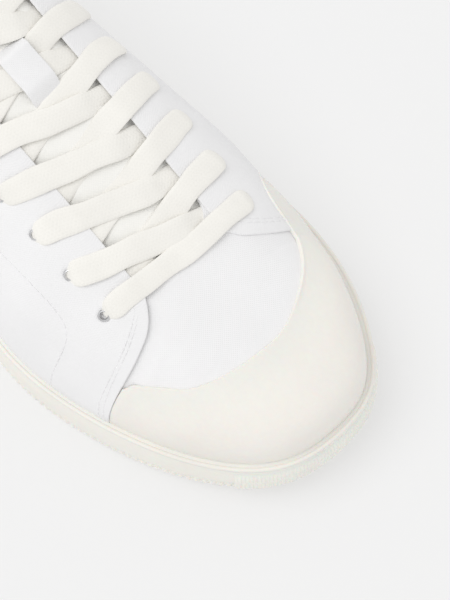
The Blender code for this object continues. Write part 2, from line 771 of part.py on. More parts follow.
def lace_band(start, end, lift):
    """Flat band along a level line, following the upper's face at a height `lift` over it."""
    start, end = np.asarray(start), np.asarray(end)
    way = (end - start) / np.linalg.norm(end - start)
    aside = np.array([-way[1], way[0]]) * LACE_WIDTH / 2
    rows = []
    for t in np.linspace(0, 1, LACE_STATIONS):
        middle = start + t * (end - start)
        flat = np.array([middle + aside, middle - aside])
        low = on_upper(flat[:, 0], flat[:, 1], np.full(2, lift))
        high = on_upper(flat[:, 0], flat[:, 1], np.full(2, lift + LACE_THICKNESS))
        rows.append(np.vstack([low, high[::-1]]))
    return loft(np.array(rows), ring=False)


def make_laces():
    """Bar and crossings joined into one solid."""
    runs = lace_runs()
    laces = to_object("laces", lace_band(*runs[0]), "lace")
    for number, run in enumerate(runs[1:], start=2):
        band = to_object(f"lace_run_{number}", lace_band(*run), None)
        bind_cutter(laces, band, "UNION")


def make_lace_keeper():
    """Canvas tab sewn to the tongue before and behind a crossing of the lace, arching over it."""
    foot = GAP - TONGUE_DROP
    arch = LACE_LIFT + 2 * LACE_STEP + LACE_THICKNESS + GAP
    rows = []
    for x, raised in KEEPER_PROFILE:
        off = arch if raised else foot
        y = KEEPER_Y + KEEPER_HALF_WIDTH * np.array([-1, 0, 1])
        low = on_upper(np.full(3, x), y, np.full(3, off))
        high = on_upper(np.full(3, x), y, np.full(3, off + KEEPER_WALL))
        rows.append(np.vstack([low, high[::-1]]))
    to_object("lace_keeper", loft(np.array(rows), ring=False), "canvas")


def main():
    for old in list(bpy.data.objects):
        bpy.data.objects.remove(old)
    make_outsole()
    make_insole()
    make_foxing()
    make_toe_bumper()
    make_upper()
    make_toe_cap()
    make_tongue()
    make_eyelets()
    make_laces()
    make_lace_keeper()


if __name__ == "__main__":
    main()
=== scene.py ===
"""Low canvas sneaker for the right foot: the finished looks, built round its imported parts.

Sizes are in millimetres unless a property says otherwise, and become metres when a mesh is made. X runs
from heel to toe, Y to the inner side of the foot and Z up from the floor. Every surface is worked out from
the last, which is a family of ribs: a rib starts at the sole's edge, rises behind the foxing, and bends
over to the ridge of the foot. A rib's girth is the way along the shoe's middle line to its foot, turning
with the ribs at heel and toe, and its share runs from 0 at the sole's edge to 1 at the ridge.
"""

import bmesh
import bpy
import numpy as np
from mathutils import Matrix, Vector


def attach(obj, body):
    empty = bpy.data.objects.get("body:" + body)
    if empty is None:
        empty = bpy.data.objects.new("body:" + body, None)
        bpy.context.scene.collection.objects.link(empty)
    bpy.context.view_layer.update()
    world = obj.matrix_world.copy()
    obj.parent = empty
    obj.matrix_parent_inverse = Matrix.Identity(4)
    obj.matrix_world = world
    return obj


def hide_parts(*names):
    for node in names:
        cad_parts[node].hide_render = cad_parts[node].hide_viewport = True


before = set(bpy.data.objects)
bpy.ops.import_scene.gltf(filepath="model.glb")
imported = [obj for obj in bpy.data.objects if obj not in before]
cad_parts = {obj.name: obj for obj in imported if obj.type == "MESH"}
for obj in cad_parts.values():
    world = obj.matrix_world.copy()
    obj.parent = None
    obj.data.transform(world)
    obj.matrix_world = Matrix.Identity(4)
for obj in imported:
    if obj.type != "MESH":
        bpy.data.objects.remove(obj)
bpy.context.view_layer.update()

bl_info = {
    "name": "Canvas sneaker",
    "version": (1, 0, 0),
    "blender": (4, 5, 0),
    "location": "View3D > Sidebar > Sneaker",
    "description": "Builds a low canvas sneaker with its rubber sole, laces and stitching",
    "category": "Add Mesh",
}

MM = 0.001
BODY = "root"
RIGHT = -1
LEFT = 1
SIDE_NAMES = {RIGHT: "outer", LEFT: "inner"}

# ---------------- the last

HEEL_CENTRE_X = 35.0
TOE_CENTRE_X = 214.0
HEEL_GIRTH = 52.0
TOE_GIRTH = 76.0
TOE_TURN_START = HEEL_GIRTH + TOE_CENTRE_X - HEEL_CENTRE_X
TOE_END = TOE_TURN_START + TOE_GIRTH

OUTLINE = (
    # place on the sole's edge, x, y
    ("back of heel", 0.0, 0.0),
    ("heel corner, outer", 8.8, -20.4),
    ("heel, outer", 31.2, -32.6),
    ("quarter, outer", 70.3, -33.6),
    ("waist, outer", 109.3, -35.0),
    ("joint, outer", 146.0, -43.0),
    ("ball, outer", 177.3, -48.7),
    ("small toe", 202.8, -45.6),
    ("toe corner, outer", 225.5, -38.2),
    ("toe, outer", 245.1, -27.4),
    ("tip, outer", 259.0, -11.6),
    ("tip", 262.2, 4.8),
    ("tip, inner", 259.2, 20.8),
    ("toe, inner", 244.8, 34.4),
    ("toe corner, inner", 223.0, 43.2),
    ("ball, inner", 197.1, 45.3),
    ("joint, inner", 171.8, 42.6),
    ("waist front, inner", 142.5, 38.6),
    ("waist, inner", 109.3, 34.8),
    ("quarter, inner", 70.3, 32.4),
    ("heel, inner", 31.2, 31.8),
    ("heel corner, inner", 8.8, 19.5),
)
RIDGE = (
    # x, y, height over the floor, bend of the outer side, bend of the inner side
    (35.0, 0.5, 116.0, 2.6, 2.6),
    (60.0, 0.5, 113.0, 2.6, 2.6),
    (85.0, 1.0, 103.0, 2.6, 2.7),
    (104.0, 1.5, 93.5, 2.5, 2.8),
    (120.0, 2.0, 86.5, 2.5, 2.9),
    (140.0, 2.5, 78.5, 2.4, 3.0),
    (160.0, 3.0, 71.0, 2.4, 3.1),
    (180.0, 3.5, 63.0, 2.4, 3.1),
    (203.0, 3.5, 54.0, 2.4, 2.8),
    (214.0, 3.0, 50.0, 2.4, 2.5),
)
OUTSOLE_EDGE = 4.0
TOE_SPRING = 8.0
TOE_SPRING_START = 179.0
ARCH_LIFT = 1.2
ARCH_SPAN = (84.0, 142.0)
FOXING_WALL = 2.2
FOXING_TOP = (
    # x, height over the sole's lower face
    (0.0, 26.0),
    (60.0, 23.5),
    (120.0, 21.5),
    (180.0, 20.5),
    (262.0, 20.5),
)
TOP_SPRING_SHARE = 0.4
BUMPER_WALL = 0.9
GAP = 0.3
CAP_INSET = 1.8
CAP_INSET_SPAN = (174.0, 197.0)
WALL_SHARE = 0.14
HEEL_BULGE = 1.8
HEEL_BULGE_END = 83.0
THROAT_FRONT = 199.5
THROAT_BACK = 104.0
THROAT_CENTRE_Y = 1.7
THROAT_HALF_GAP = 14.6
THROAT_NOSE = 9.0
TOPLINE = (
    # way along the sole's edge from the back of the heel, height over the floor
    (0.0, 75.0),
    (18.0, 73.5),
    (40.0, 66.0),
    (66.0, 61.5),
    (88.0, 64.0),
    (104.0, 72.0),
    (114.0, 80.5),
    (121.0, 88.4),
)
CAP_EDGE = (
    # turn from straight ahead in degrees, outer side negative, distance from the toe centre
    (-90.0, 34.0),
    (-78.0, 29.8),
    (-63.0, 26.6),
    (-48.0, 22.9),
    (-33.0, 20.2),
    (-5.0, 18.2),
    (24.0, 19.4),
    (52.0, 21.8),
    (73.0, 25.9),
    (90.0, 29.8),
)
TIP_X = max(row[1] for row in OUTLINE)
CAP_FALL_X = {RIGHT: 204.0, LEFT: 199.5}
CAP_FALL_BEND = 1.2
CAP_LOW_SHARE = 0.05
ROWS = 7
FIRST_ROW_X = {RIGHT: 196.2, LEFT: 198.2}
ROW_PITCH = 14.0
EYELETS_Y = (
    # x, outer row, inner row
    (112.0, -25.0, 25.5),
    (126.0, -25.0, 27.0),
    (154.0, -25.0, 28.3),
    (182.0, -25.2, 27.8),
    (196.2, -25.2, 26.8),
)


def spline(knots, values, at):
    """Natural cubic spline through (knots, values), read at `at`."""
    knots, values, at = (np.asarray(a, float) for a in (knots, values, at))
    step = np.diff(knots)
    size = len(knots)
    matrix = np.eye(size)
    turn = np.zeros(size)
    for i in range(1, size - 1):
        matrix[i, i - 1:i + 2] = step[i - 1], 2 * (step[i - 1] + step[i]), step[i]
        turn[i] = 6 * ((values[i + 1] - values[i]) / step[i] - (values[i] - values[i - 1]) / step[i - 1])
    bend = np.linalg.solve(matrix, turn)
    k = np.clip(np.searchsorted(knots, at) - 1, 0, size - 2)
    h, a, b = step[k], knots[k + 1] - at, at - knots[k]
    return ((bend[k] * a ** 3 + bend[k + 1] * b ** 3) / (6 * h)
            + (values[k] / h - bend[k] * h / 6) * a + (values[k + 1] / h - bend[k + 1] * h / 6) * b)


def table(rows, column, at):
    """Column of a table, as a smooth curve over the table's first column, held level past its ends."""
    knots = [row[0] for row in rows]
    return spline(knots, [row[column] for row in rows], np.clip(at, knots[0], knots[-1]))


def ramp(x, start, end):
    """Smooth step from 0 at start to 1 at end: three t squared less two t cubed."""
    t = np.clip((np.asarray(x, float) - start) / (end - start), 0, 1)
    return t * t * (3 - 2 * t)


def unit(vectors):
    """Vectors scaled to length one."""
    return vectors / np.linalg.norm(vectors, axis=-1, keepdims=True)


def outward_normals(curve):
    """Level unit normals of a closed curve that runs as the sole's edge does."""
    run = np.roll(curve, -1, axis=0) - np.roll(curve, 1, axis=0)
    return unit(np.column_stack([run[:, 1], -run[:, 0]]))


def outline_curve(inset=0.0, count=2880):
    """The sole's edge as a closed smooth curve, moved inwards by `inset`: a number, one value a point, or a
    function of x."""
    points = np.array([row[1:] for row in OUTLINE])
    wrapped = np.vstack([points[-4:], points, points[:5]])
    way = np.r_[0, np.cumsum(np.linalg.norm(np.diff(wrapped, axis=0), axis=1))]
    at = np.linspace(way[4], way[4 + len(points)], count, endpoint=False)
    curve = np.column_stack([spline(way, wrapped[:, k], at) for k in (0, 1)])
    amount = inset(curve[:, 0]) if callable(inset) else inset
    return curve - outward_normals(curve) * np.reshape(amount, (-1, 1))


TOE_SLOPE_STEP = 0.5
TOE_SLOPE = np.diff(table(RIDGE, 2, (TOE_CENTRE_X - TOE_SLOPE_STEP, TOE_CENTRE_X)))[0] / TOE_SLOPE_STEP
GIRTH_STEP = 0.05
SHARE_STEP = 0.002


def rib(side, girth):
    """Foot of a rib on the ridge line, and the level direction in which the rib runs out to the sole's
    edge."""
    girth = np.asarray(girth, float)
    x = np.clip(HEEL_CENTRE_X + girth - HEEL_GIRTH, HEEL_CENTRE_X, TOE_CENTRE_X)
    heel_turn = 90 * np.clip(1 - girth / HEEL_GIRTH, 0, 1)
    toe_turn = 90 * np.clip((girth - TOE_TURN_START) / TOE_GIRTH, 0, 1)
    angle = np.radians(90 + heel_turn - toe_turn)
    foot = np.stack([x, table(RIDGE, 1, x)], -1)
    return foot, np.stack([np.cos(angle), side * np.sin(angle)], -1)


def reach(curve, side, girth):
    """Level distance from each rib's foot to a closed curve."""
    foot, way = rib(side, np.ravel(girth))
    rel = curve[None] - foot[:, None]
    along = rel[..., 0] * way[:, None, 0] + rel[..., 1] * way[:, None, 1]
    across = rel[..., 0] * way[:, None, 1] - rel[..., 1] * way[:, None, 0]
    after = np.roll(across, -1, axis=1)
    crossed = (across * after <= 0) & (along > 0)
    i = np.argmax(crossed, axis=1)
    row = np.arange(len(i))
    share = across[row, i] / (across[row, i] - after[row, i])
    far = along[row, i] + share * (np.roll(along, -1, axis=1)[row, i] - along[row, i])
    return far.reshape(np.shape(girth))


def sole_lift(x):
    """Height of the sole's lower face: level at heel and ball, lifted a little at the arch, sprung at the
    toe."""
    spring = TOE_SPRING * (np.clip(x - TOE_SPRING_START, 0, None) / (TIP_X - TOE_SPRING_START)) ** 2
    start, end = ARCH_SPAN
    arch = ARCH_LIFT * np.sin(np.pi * np.clip((x - start) / (end - start), 0, 1)) ** 2
    return spring + arch


def foxing_top(x):
    """Height of the foxing's rim over the floor."""
    spring = sole_lift(np.clip(x, TOE_SPRING_START, None))
    return table(FOXING_TOP, 1, x) + TOP_SPRING_SHARE * spring


def upper_inset(x):
    """The canvas stands inside the foxing, and further in where the rubber cap lies between them."""
    return FOXING_WALL + GAP + CAP_INSET * ramp(x, *CAP_INSET_SPAN)


GIRTHS = np.linspace(0.0, TOE_END, 1230)
UPPER_REACH = {side: reach(outline_curve(upper_inset), side, GIRTHS) for side in (RIGHT, LEFT)}
SOLE_REACH = {side: reach(outline_curve(), side, GIRTHS) for side in (RIGHT, LEFT)}
PLAN_EDGE = outline_curve()
SHIFT = np.array([
    -(PLAN_EDGE[:, 0].min() + PLAN_EDGE[:, 0].max() + BUMPER_WALL) / 2,
    -(PLAN_EDGE[:, 1].min() + PLAN_EDGE[:, 1].max()) / 2,
    0.0,
])


def last_frame(side, girth):
    """What every point of a rib needs: foot, direction, reach, edge height, ridge height and bend."""
    foot, way = rib(side, girth)
    far = np.interp(girth, GIRTHS, UPPER_REACH[side])
    x = foot[..., 0]
    low = foxing_top(x + far * way[..., 0])
    high = table(RIDGE, 2, x)
    outer, inner = table(RIDGE, 3, x), table(RIDGE, 4, x)
    nose = np.clip(way[..., 0], 0, 1) ** 2
    bend = (outer if side == RIGHT else inner) * (1 - nose) + 0.5 * (outer + inner) * nose
    return foot, way, far, low, high, bend


def surface(side, girth, share):
    """Point of the last's face. Share 0 is the sole's edge, WALL_SHARE the foxing's rim and 1 the ridge.
    From the rim on, reach and height follow a quarter of a superellipse, and in front of the toe centre the
    ridge's slope runs on through the top of the curve."""
    girth, share = np.broadcast_arrays(np.asarray(girth, float), np.asarray(share, float))
    foot, way, far, low, high, bend = last_frame(side, girth)
    turn = np.clip((share - WALL_SHARE) / (1 - WALL_SHARE), 0, 1) * np.pi / 2
    out = np.cos(turn) ** (2 / bend)
    rise = np.sin(turn) ** (2 / bend)
    back = ramp(girth, HEEL_BULGE_END, 0.0)
    level = far * out + HEEL_BULGE * back * np.sin(2 * np.pi * rise)
    flat = foot + way * level[..., None]
    floor = sole_lift(foot[..., 0] + far * way[..., 0]) + OUTSOLE_EDGE + GAP
    wall = floor + (low - floor) * np.clip(share / WALL_SHARE, 0, 1)
    ahead = level * np.clip(way[..., 0], 0, 1)
    over = low + (high - low) * rise + TOE_SLOPE * ahead * np.sin(turn) ** 2
    return np.concatenate([flat, np.where(share < WALL_SHARE, wall, over)[..., None]], -1)


def face_normal(side, girth, share):
    """Outward normal of the last: the cross product of its two tangents, kept level with the ridge line at
    heel and toe."""
    girth, share = np.broadcast_arrays(np.asarray(girth, float), np.asarray(share, float))
    safe = np.clip(share, SHARE_STEP, 1 - 3 * SHARE_STEP)
    inside = np.clip(girth, GIRTH_STEP, TOE_END - GIRTH_STEP)
    along = surface(side, inside + GIRTH_STEP, safe) - surface(side, inside - GIRTH_STEP, safe)
    up = surface(side, inside, safe + SHARE_STEP) - surface(side, inside, safe - SHARE_STEP)
    normal = unit(np.cross(along, up) * -side)
    ends = (girth <= 0) | (girth >= TOE_END)
    normal[..., 1] = np.where(ends, 0.0, normal[..., 1])
    return normal


def offset_surface(side, girth, share, off):
    """Last's face moved out along its own normal."""
    point = surface(side, girth, share)
    return point + face_normal(side, girth, share) * np.broadcast_to(off, point.shape[:-1])[..., None]


def girth_at(x):
    """Rib whose foot lies at x, between the heel's centre and the toe's."""
    return np.asarray(x, float) - HEEL_CENTRE_X + HEEL_GIRTH


def share_of_turn(turn):
    """Share of a rib at a turn of its superellipse: 0 at the foxing's rim, a right angle at the ridge."""
    return WALL_SHARE + (1 - WALL_SHARE) * turn / (np.pi / 2)


def share_at_reach(side, girth, level):
    """Share of a rib at a level distance from its foot."""
    _, _, far, _, _, bend = last_frame(side, girth)
    return share_of_turn(np.arccos(np.clip(level / far, 0, 1) ** (bend / 2)))


def share_at_height(side, girth, height):
    """Share of a rib at a height over the floor, behind the toe centre."""
    *_, low, high, bend = last_frame(side, girth)
    return share_of_turn(np.arcsin(np.clip((height - low) / (high - low), 0, 1) ** (bend / 2)))


def on_upper(x, y, off=0.0):
    """Point over plan place (x, y), a distance `off` out from the last's face, for x between the
    centres."""
    x, y, off = np.broadcast_arrays(np.asarray(x, float), np.asarray(y, float), np.asarray(off, float))
    girth = girth_at(x)
    across = y - table(RIDGE, 1, x)
    point = np.empty(x.shape + (3,))
    for side in (RIGHT, LEFT):
        mine = (across * side > 0) | ((across == 0) & (side == LEFT))
        share = share_at_reach(side, girth, np.abs(across))
        point[mine] = offset_surface(side, girth, share, off)[mine]
    return point


def collar_share(side, girth):
    """Share of the topline round the heel."""
    return share_at_height(side, girth, table(TOPLINE, 1, girth))


def throat_share(side, girth, opened=1.0):
    """Share of a facing's edge beside the throat. `opened` is 1 beside its straight edges and less round
    its front end."""
    drift = (THROAT_CENTRE_Y - table(RIDGE, 1, rib(side, girth)[0][..., 0])) / THROAT_HALF_GAP
    return share_at_reach(side, girth, THROAT_HALF_GAP * opened * (1 + side * drift))


def opening_share(side, girth):
    """Share at which each rib meets the throat's edge or the topline; 1 where the vamp is closed."""
    x = rib(side, girth)[0][..., 0]
    nose = np.clip((THROAT_FRONT - x) / THROAT_NOSE, 0, 1)
    throat = np.where(nose > 0, throat_share(side, girth, np.sqrt(1 - (1 - nose) ** 2)), 1.0)
    return np.where(x > THROAT_BACK, throat, collar_share(side, girth))


def panel_top(side, girth):
    """Share of a quarter's upper edge: the topline, then the straight edge of the facing."""
    x = rib(side, girth)[0][..., 0]
    return np.where(x > THROAT_BACK, throat_share(side, girth), collar_share(side, girth))


def cap_edge_share(side, girth):
    """Share of each rib at the cap's rear edge, which falls to the foxing behind the toe centre."""
    foot, way = rib(side, girth)
    angle = np.degrees(np.arctan2(way[..., 1], way[..., 0]))
    ahead = share_at_reach(side, girth, table(CAP_EDGE, 1, angle))
    top = share_at_reach(side, TOE_TURN_START, table(CAP_EDGE, 1, 90.0 * side))
    low = WALL_SHARE * (1 + CAP_LOW_SHARE)
    fall = np.clip((TOE_CENTRE_X - foot[..., 0]) / (TOE_CENTRE_X - CAP_FALL_X[side]), 0, 1)
    return np.where(girth >= TOE_TURN_START, ahead, low + (top - low) * (1 - fall) ** CAP_FALL_BEND)


def share_drop(side, girth, share, down):
    """Share of the point that lies `down` millimetres below a point of its rib."""
    step = surface(side, girth, share) - surface(side, girth, share - SHARE_STEP)
    return share - down * SHARE_STEP / np.linalg.norm(step, axis=-1)


def eyelet_spots(side):
    """Plan places of one row of eyelets, from the toe back."""
    x = FIRST_ROW_X[side] - ROW_PITCH * np.arange(ROWS)
    return np.column_stack([x, table(EYELETS_Y, 1 if side == RIGHT else 2, x)])


def ribs_round(step, first=1):
    """Every `step`th rib round the whole shoe, as rows of side, girths and way: up the outer side to the
    toe, then back down the inner side from rib `first` on, its way running on past the toe."""
    back = GIRTHS[::-1][first::step]
    return (RIGHT, GIRTHS[::step], GIRTHS[::step]), (LEFT, back, 2 * TOE_END - back)


# ---------------- meshes

MERGE_DISTANCE = 2e-6
HEM_POINTS = 6


def grid_corners(count_u, count_v, ring, tube):
    """Grid places of every quad's corners: four pairs of whole numbers, not yet wrapped round."""
    i, k = np.meshgrid(np.arange(count_u - (not ring)), np.arange(count_v - (not tube)), indexing="ij")
    i, k = i.ravel(), k.ravel()
    return np.stack([i, i + 1, i + 1, i], 1), np.stack([k, k, k + 1, k + 1], 1)


def mesh_from_grids(name, grids):
    """Mesh of one or more grids of points, with its cloth coordinates in a UV layer. Doubles are merged and
    faces turned outwards."""
    points, corners, coords, base = [], [], [], 0
    for rows, ring, tube, u, v in grids:
        count_u, count_v = rows.shape[:2]
        i, k = grid_corners(count_u, count_v, ring, tube)
        corners.append(base + (i % count_u) * count_v + k % count_v)
        if u is None:
            coords.append(rows[i % count_u, k % count_v, :2])
        else:
            coords.append(np.stack([np.asarray(u)[i], np.asarray(v)[k]], -1))
        points.append(rows.reshape(-1, 3))
        base += count_u * count_v
    points, corners, coords = np.concatenate(points), np.concatenate(corners), np.concatenate(coords)
    mesh = bpy.data.meshes.new(name)
    mesh.vertices.add(len(points))
    mesh.vertices.foreach_set("co", ((points + SHIFT) * MM).ravel())
    mesh.loops.add(corners.size)
    mesh.loops.foreach_set("vertex_index", corners.ravel().astype(np.int32))
    mesh.polygons.add(len(corners))
    mesh.polygons.foreach_set("loop_start", np.arange(0, corners.size, 4, dtype=np.int32))
    mesh.uv_layers.new(name="Cloth").data.foreach_set("uv", coords.ravel())
    mesh.update(calc_edges=True)
    work = bmesh.new()
    work.from_mesh(mesh)
    bmesh.ops.remove_doubles(work, verts=work.verts, dist=MERGE_DISTANCE)
    bmesh.ops.recalc_face_normals(work, faces=work.faces)
    work.to_mesh(mesh)
    work.free()
    return mesh


def write_piece(name, grids, finish, replaces=(), crease=60.0):
    """Object from one or more grids, smooth but for edges that turn by more than `crease` degrees. A grid
    is (points, ring, tube, u, v): points in an array of rows and columns, whether rows and columns close on
    themselves, and the cloth coordinates of rows and columns, one more than the points where the grid
    closes, or None where the cloth's threads run along x and y."""
    mesh = mesh_from_grids(name, grids)
    mesh.shade_smooth()
    mesh.set_sharp_from_angle(angle=np.radians(crease))
    mesh.materials.append(finish)
    piece = bpy.data.objects.new(name, mesh)
    bpy.context.scene.collection.objects.link(piece)
    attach(piece, BODY)
    if replaces:
        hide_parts(*replaces)
    return piece


def capped(points):
    """Tube of points with each end closed by one more row, drawn together in the middle of the end."""
    middle = points.mean(axis=1, keepdims=True).repeat(points.shape[1], 1)
    return np.concatenate([middle[:1], points, middle[-1:]])


def hem_steps(length, cell, hem):
    """Places from 0 to 1 along a length: close together within the rounded hem at each end, then a cell
    apart."""
    near = hem * (1 - np.cos(np.linspace(0, np.pi / 2, HEM_POINTS)))
    middle = np.linspace(hem, length - hem, max(2, int((length - 2 * hem) / cell)))
    return np.concatenate([near[:-1], middle, (length - near[:-1])[::-1]]) / length


def border_round(places, hem):
    """How full a panel is at each point of its grid, 0 on its border and 1 from `hem` on: a quarter circle
    over the distance to the nearest border, measured along rows and columns."""
    far = []
    for axis in (0, 1):
        step = np.linalg.norm(np.diff(places, axis=axis), axis=-1)
        way = np.concatenate([np.zeros_like(step.take([0], axis)), np.cumsum(step, axis)], axis)
        far.append(np.minimum(way, way.take([-1], axis) - way))
    near = np.clip(np.minimum(*far) / hem, 0, 1)
    return np.sqrt(1 - (1 - near) ** 2)


def panel_grid(place, size, cell, hem, wall):
    """Closed sheet with rounded borders, as a grid. `place(u, v, off)` gives its points for u and v from 0
    to 1, `size` and `cell` are its lengths and its cells along u and v, and `wall(u, v)` gives the heights
    of its lower and its upper face."""
    u, v = (hem_steps(length, step, hem) for length, step in zip(size, cell))
    grid_u, grid_v = np.meshgrid(u, v, indexing="ij")
    low, high = (np.broadcast_to(off, grid_u.shape) for off in wall(grid_u, grid_v))
    middle = 0.5 * (low + high)
    half = 0.5 * (high - low) * border_round(place(grid_u, grid_v, middle), hem)
    outer, inner = (place(grid_u, grid_v, middle + off) for off in (half, -half))
    across = v * size[1]
    points = np.concatenate([outer, inner[:, -2:0:-1]], axis=1)
    return points, False, True, u * size[0], np.r_[across, across[-2:0:-1], across[0]]


def run_length(points):
    """Way along a line of points."""
    return np.r_[0, np.cumsum(np.linalg.norm(np.diff(points, axis=0), axis=1))]


def closed_run_length(points):
    """Way along a closed line of points, with the way back to the first point as its last value."""
    return run_length(np.vstack([points, points[:1]]))


STITCH_ROUNDS = 6
STITCH_SIDES = 6
STITCH_SINK = 0.35
STITCH_LOOK = 0.3


def read_along(at, way, rows):
    """Rows of three values, given at `way` and read at `at`."""
    return np.stack([np.interp(at, way, rows[:, k]) for k in range(3)], -1)


def stitches(points, normals, pitch, length, radius):
    """Row of thread stitches along a line: a small capsule at each step, its axis on the line, half sunk.
    Every capsule is a sphere's rows of points whose two halves are pulled apart along the line."""
    way = run_length(points)
    at = np.arange(0.5 * pitch, way[-1] - 0.4 * pitch, pitch)
    run = unit(read_along(at + STITCH_LOOK, way, points) - read_along(at - STITCH_LOOK, way, points))
    out = read_along(at, way, normals)
    out = unit(out - run * np.sum(out * run, axis=1, keepdims=True))
    aside = np.cross(run, out)
    polar = np.linspace(0, np.pi, STITCH_ROUNDS)
    angle = np.arange(STITCH_SIDES) * 2 * np.pi / STITCH_SIDES
    pull = 0.5 * length - radius
    along = -radius * np.cos(polar) + np.where(polar < np.pi / 2, -pull, pull)
    wide = radius * np.sin(polar)[:, None]
    spot = read_along(at, way, points) + out * radius * (1 - 2 * STITCH_SINK)
    every = (spot[:, None, None] + along[:, None, None] * run[:, None, None]
             + (wide * np.cos(angle))[..., None] * aside[:, None, None]
             + (wide * np.sin(angle))[..., None] * out[:, None, None])
    flat = np.zeros(STITCH_SIDES + 1)
    return [(rows, False, True, at[n] + along, flat) for n, rows in enumerate(every)]


# ---------------- node groups and materials


def new_group(name, inputs, outputs):
    """Empty shader group. Inputs and outputs are (name, socket type, default)."""
    group = bpy.data.node_groups.new(name, "ShaderNodeTree")
    for in_out, rows in (("INPUT", inputs), ("OUTPUT", outputs)):
        for label, kind, default in rows:
            socket = group.interface.new_socket(name=label, in_out=in_out, socket_type=kind)
            if default is not None:
                socket.default_value = default
    start, end = group.nodes.new("NodeGroupInput"), group.nodes.new("NodeGroupOutput")
    return group, start, end


def add_node(tree, kind, values=(), **settings):
    """Node with its settings, and its sockets either set to a number or linked from another node's
    output."""
    node = tree.nodes.new(kind)
    for key, value in settings.items():
        setattr(node, key, value)
    for key, value in dict(values).items():
        if isinstance(value, bpy.types.NodeSocket):
            tree.links.new(value, node.inputs[key])
        else:
            node.inputs[key].default_value = value
    return node


def maths(tree, operation, *values):
    """Output of a Math node."""
    return add_node(tree, "ShaderNodeMath", enumerate(values), operation=operation).outputs[0]


def noise(tree, vector, scale, detail):
    """Output of a Noise node."""
    values = {"Vector": vector, "Scale": scale, "Detail": detail}
    return add_node(tree, "ShaderNodeTexNoise", values).outputs["Fac"]


MOTTLE_FINE = 14.0
MOTTLE_SPECKLE = 0.35


def mottle_group():
    """Soft variation of a colour: large noise moves between the colour and a second one, fine noise
    speckles it."""
    if "Mottle" in bpy.data.node_groups:
        return bpy.data.node_groups["Mottle"]
    group, start, end = new_group("Mottle", (
        ("Vector", "NodeSocketVector", None),
        ("Colour", "NodeSocketColor", (0.8, 0.8, 0.8, 1)),
        ("Second Colour", "NodeSocketColor", (0.7, 0.7, 0.7, 1)),
        ("Scale", "NodeSocketFloat", 60.0),
        ("Amount", "NodeSocketFloat", 0.5),
    ), (("Colour", "NodeSocketColor", None), ("Mask", "NodeSocketFloat", None)))
    given = start.outputs
    broad = noise(group, given["Vector"], given["Scale"], 4.0)
    fine = noise(group, given["Vector"], maths(group, "MULTIPLY", given["Scale"], MOTTLE_FINE), 2.0)
    both = maths(group, "MULTIPLY_ADD", fine, MOTTLE_SPECKLE, broad)
    spread = add_node(group, "ShaderNodeMapRange", {"Value": both, "From Min": 0.5, "From Max": 0.85})
    mask = maths(group, "MULTIPLY", spread.outputs["Result"], given["Amount"])
    mix = add_node(group, "ShaderNodeMix", data_type="RGBA")
    group.links.new(mask, mix.inputs["Factor"])
    group.links.new(given["Colour"], mix.inputs["A"])
    group.links.new(given["Second Colour"], mix.inputs["B"])
    group.links.new(mix.outputs["Result"], end.inputs["Colour"])
    group.links.new(mask, end.inputs["Mask"])
    return group


SLUB_SCALE = 0.35


def weave_group():
    """Plain weave: the height is the product of two sine waves along warp and weft, broken up by thread
    noise."""
    if "Plain Weave" in bpy.data.node_groups:
        return bpy.data.node_groups["Plain Weave"]
    group, start, end = new_group("Plain Weave", (
        ("Vector", "NodeSocketVector", None),
        ("Threads", "NodeSocketFloat", 2.0),
        ("Slub", "NodeSocketFloat", 0.3),
    ), (("Height", "NodeSocketFloat", None),))
    given = start.outputs
    split = add_node(group, "ShaderNodeSeparateXYZ", {0: given["Vector"]})
    turn = maths(group, "MULTIPLY", given["Threads"], float(np.pi))
    warp = maths(group, "SINE", maths(group, "MULTIPLY", split.outputs[0], turn))
    weft = maths(group, "SINE", maths(group, "MULTIPLY", split.outputs[1], turn))
    cross = maths(group, "MULTIPLY", warp, weft)
    uneven = maths(group, "MULTIPLY", noise(group, given["Vector"], SLUB_SCALE, 3.0), given["Slub"])
    group.links.new(maths(group, "ADD", cross, uneven), end.inputs["Height"])
    return group


BRAID_HALF = 0.9
FUZZ_SCALE = 2.5


def braid_group():
    """Flat woven lace: slanting ribs that mirror at the middle of each cord, so they meet in rows of
    chevrons, and a mask for painted shade in the valleys between them."""
    if "Braid" in bpy.data.node_groups:
        return bpy.data.node_groups["Braid"]
    group, start, end = new_group("Braid", (
        ("Vector", "NodeSocketVector", None),
        ("Ribs", "NodeSocketFloat", 1.2),
        ("Slant", "NodeSocketFloat", 1.0),
    ), (("Height", "NodeSocketFloat", None), ("Valley Shade", "NodeSocketFloat", None)))
    given = start.outputs
    split = add_node(group, "ShaderNodeSeparateXYZ", {0: given["Vector"]})
    fold = maths(group, "PINGPONG", split.outputs[1], BRAID_HALF)
    slanted = maths(group, "MULTIPLY", fold, given["Slant"])
    phase = maths(group, "MULTIPLY", maths(group, "ADD", split.outputs[0], slanted), given["Ribs"])
    wave = maths(group, "SINE", maths(group, "MULTIPLY", phase, float(2 * np.pi)))
    cord = maths(group, "SINE", maths(group, "MULTIPLY", split.outputs[1], float(2 * np.pi / BRAID_HALF)))
    height = maths(group, "ADD", maths(group, "MULTIPLY", wave, 0.5), maths(group, "MULTIPLY", cord, 0.35))
    total = maths(group, "ADD", height, noise(group, given["Vector"], FUZZ_SCALE, 3.0))
    # mask of painted shade: 1 deep in the braid's valleys, 0 on its ribs
    low = add_node(group, "ShaderNodeMapRange", {"Value": total, "From Min": 0.6, "From Max": -0.4})
    group.links.new(total, end.inputs["Height"])
    group.links.new(low.outputs["Result"], end.inputs["Valley Shade"])
    return group


SHEEN_ROUGHNESS = 0.5
COAT_ROUGHNESS = 0.3
GLOW_DEPTH = 2.0 * MM
GRAIN_SCALE = 1400.0
GRAIN_DEPTH = 0.04 * MM
THREAD_DEPTH = 0.03 * MM


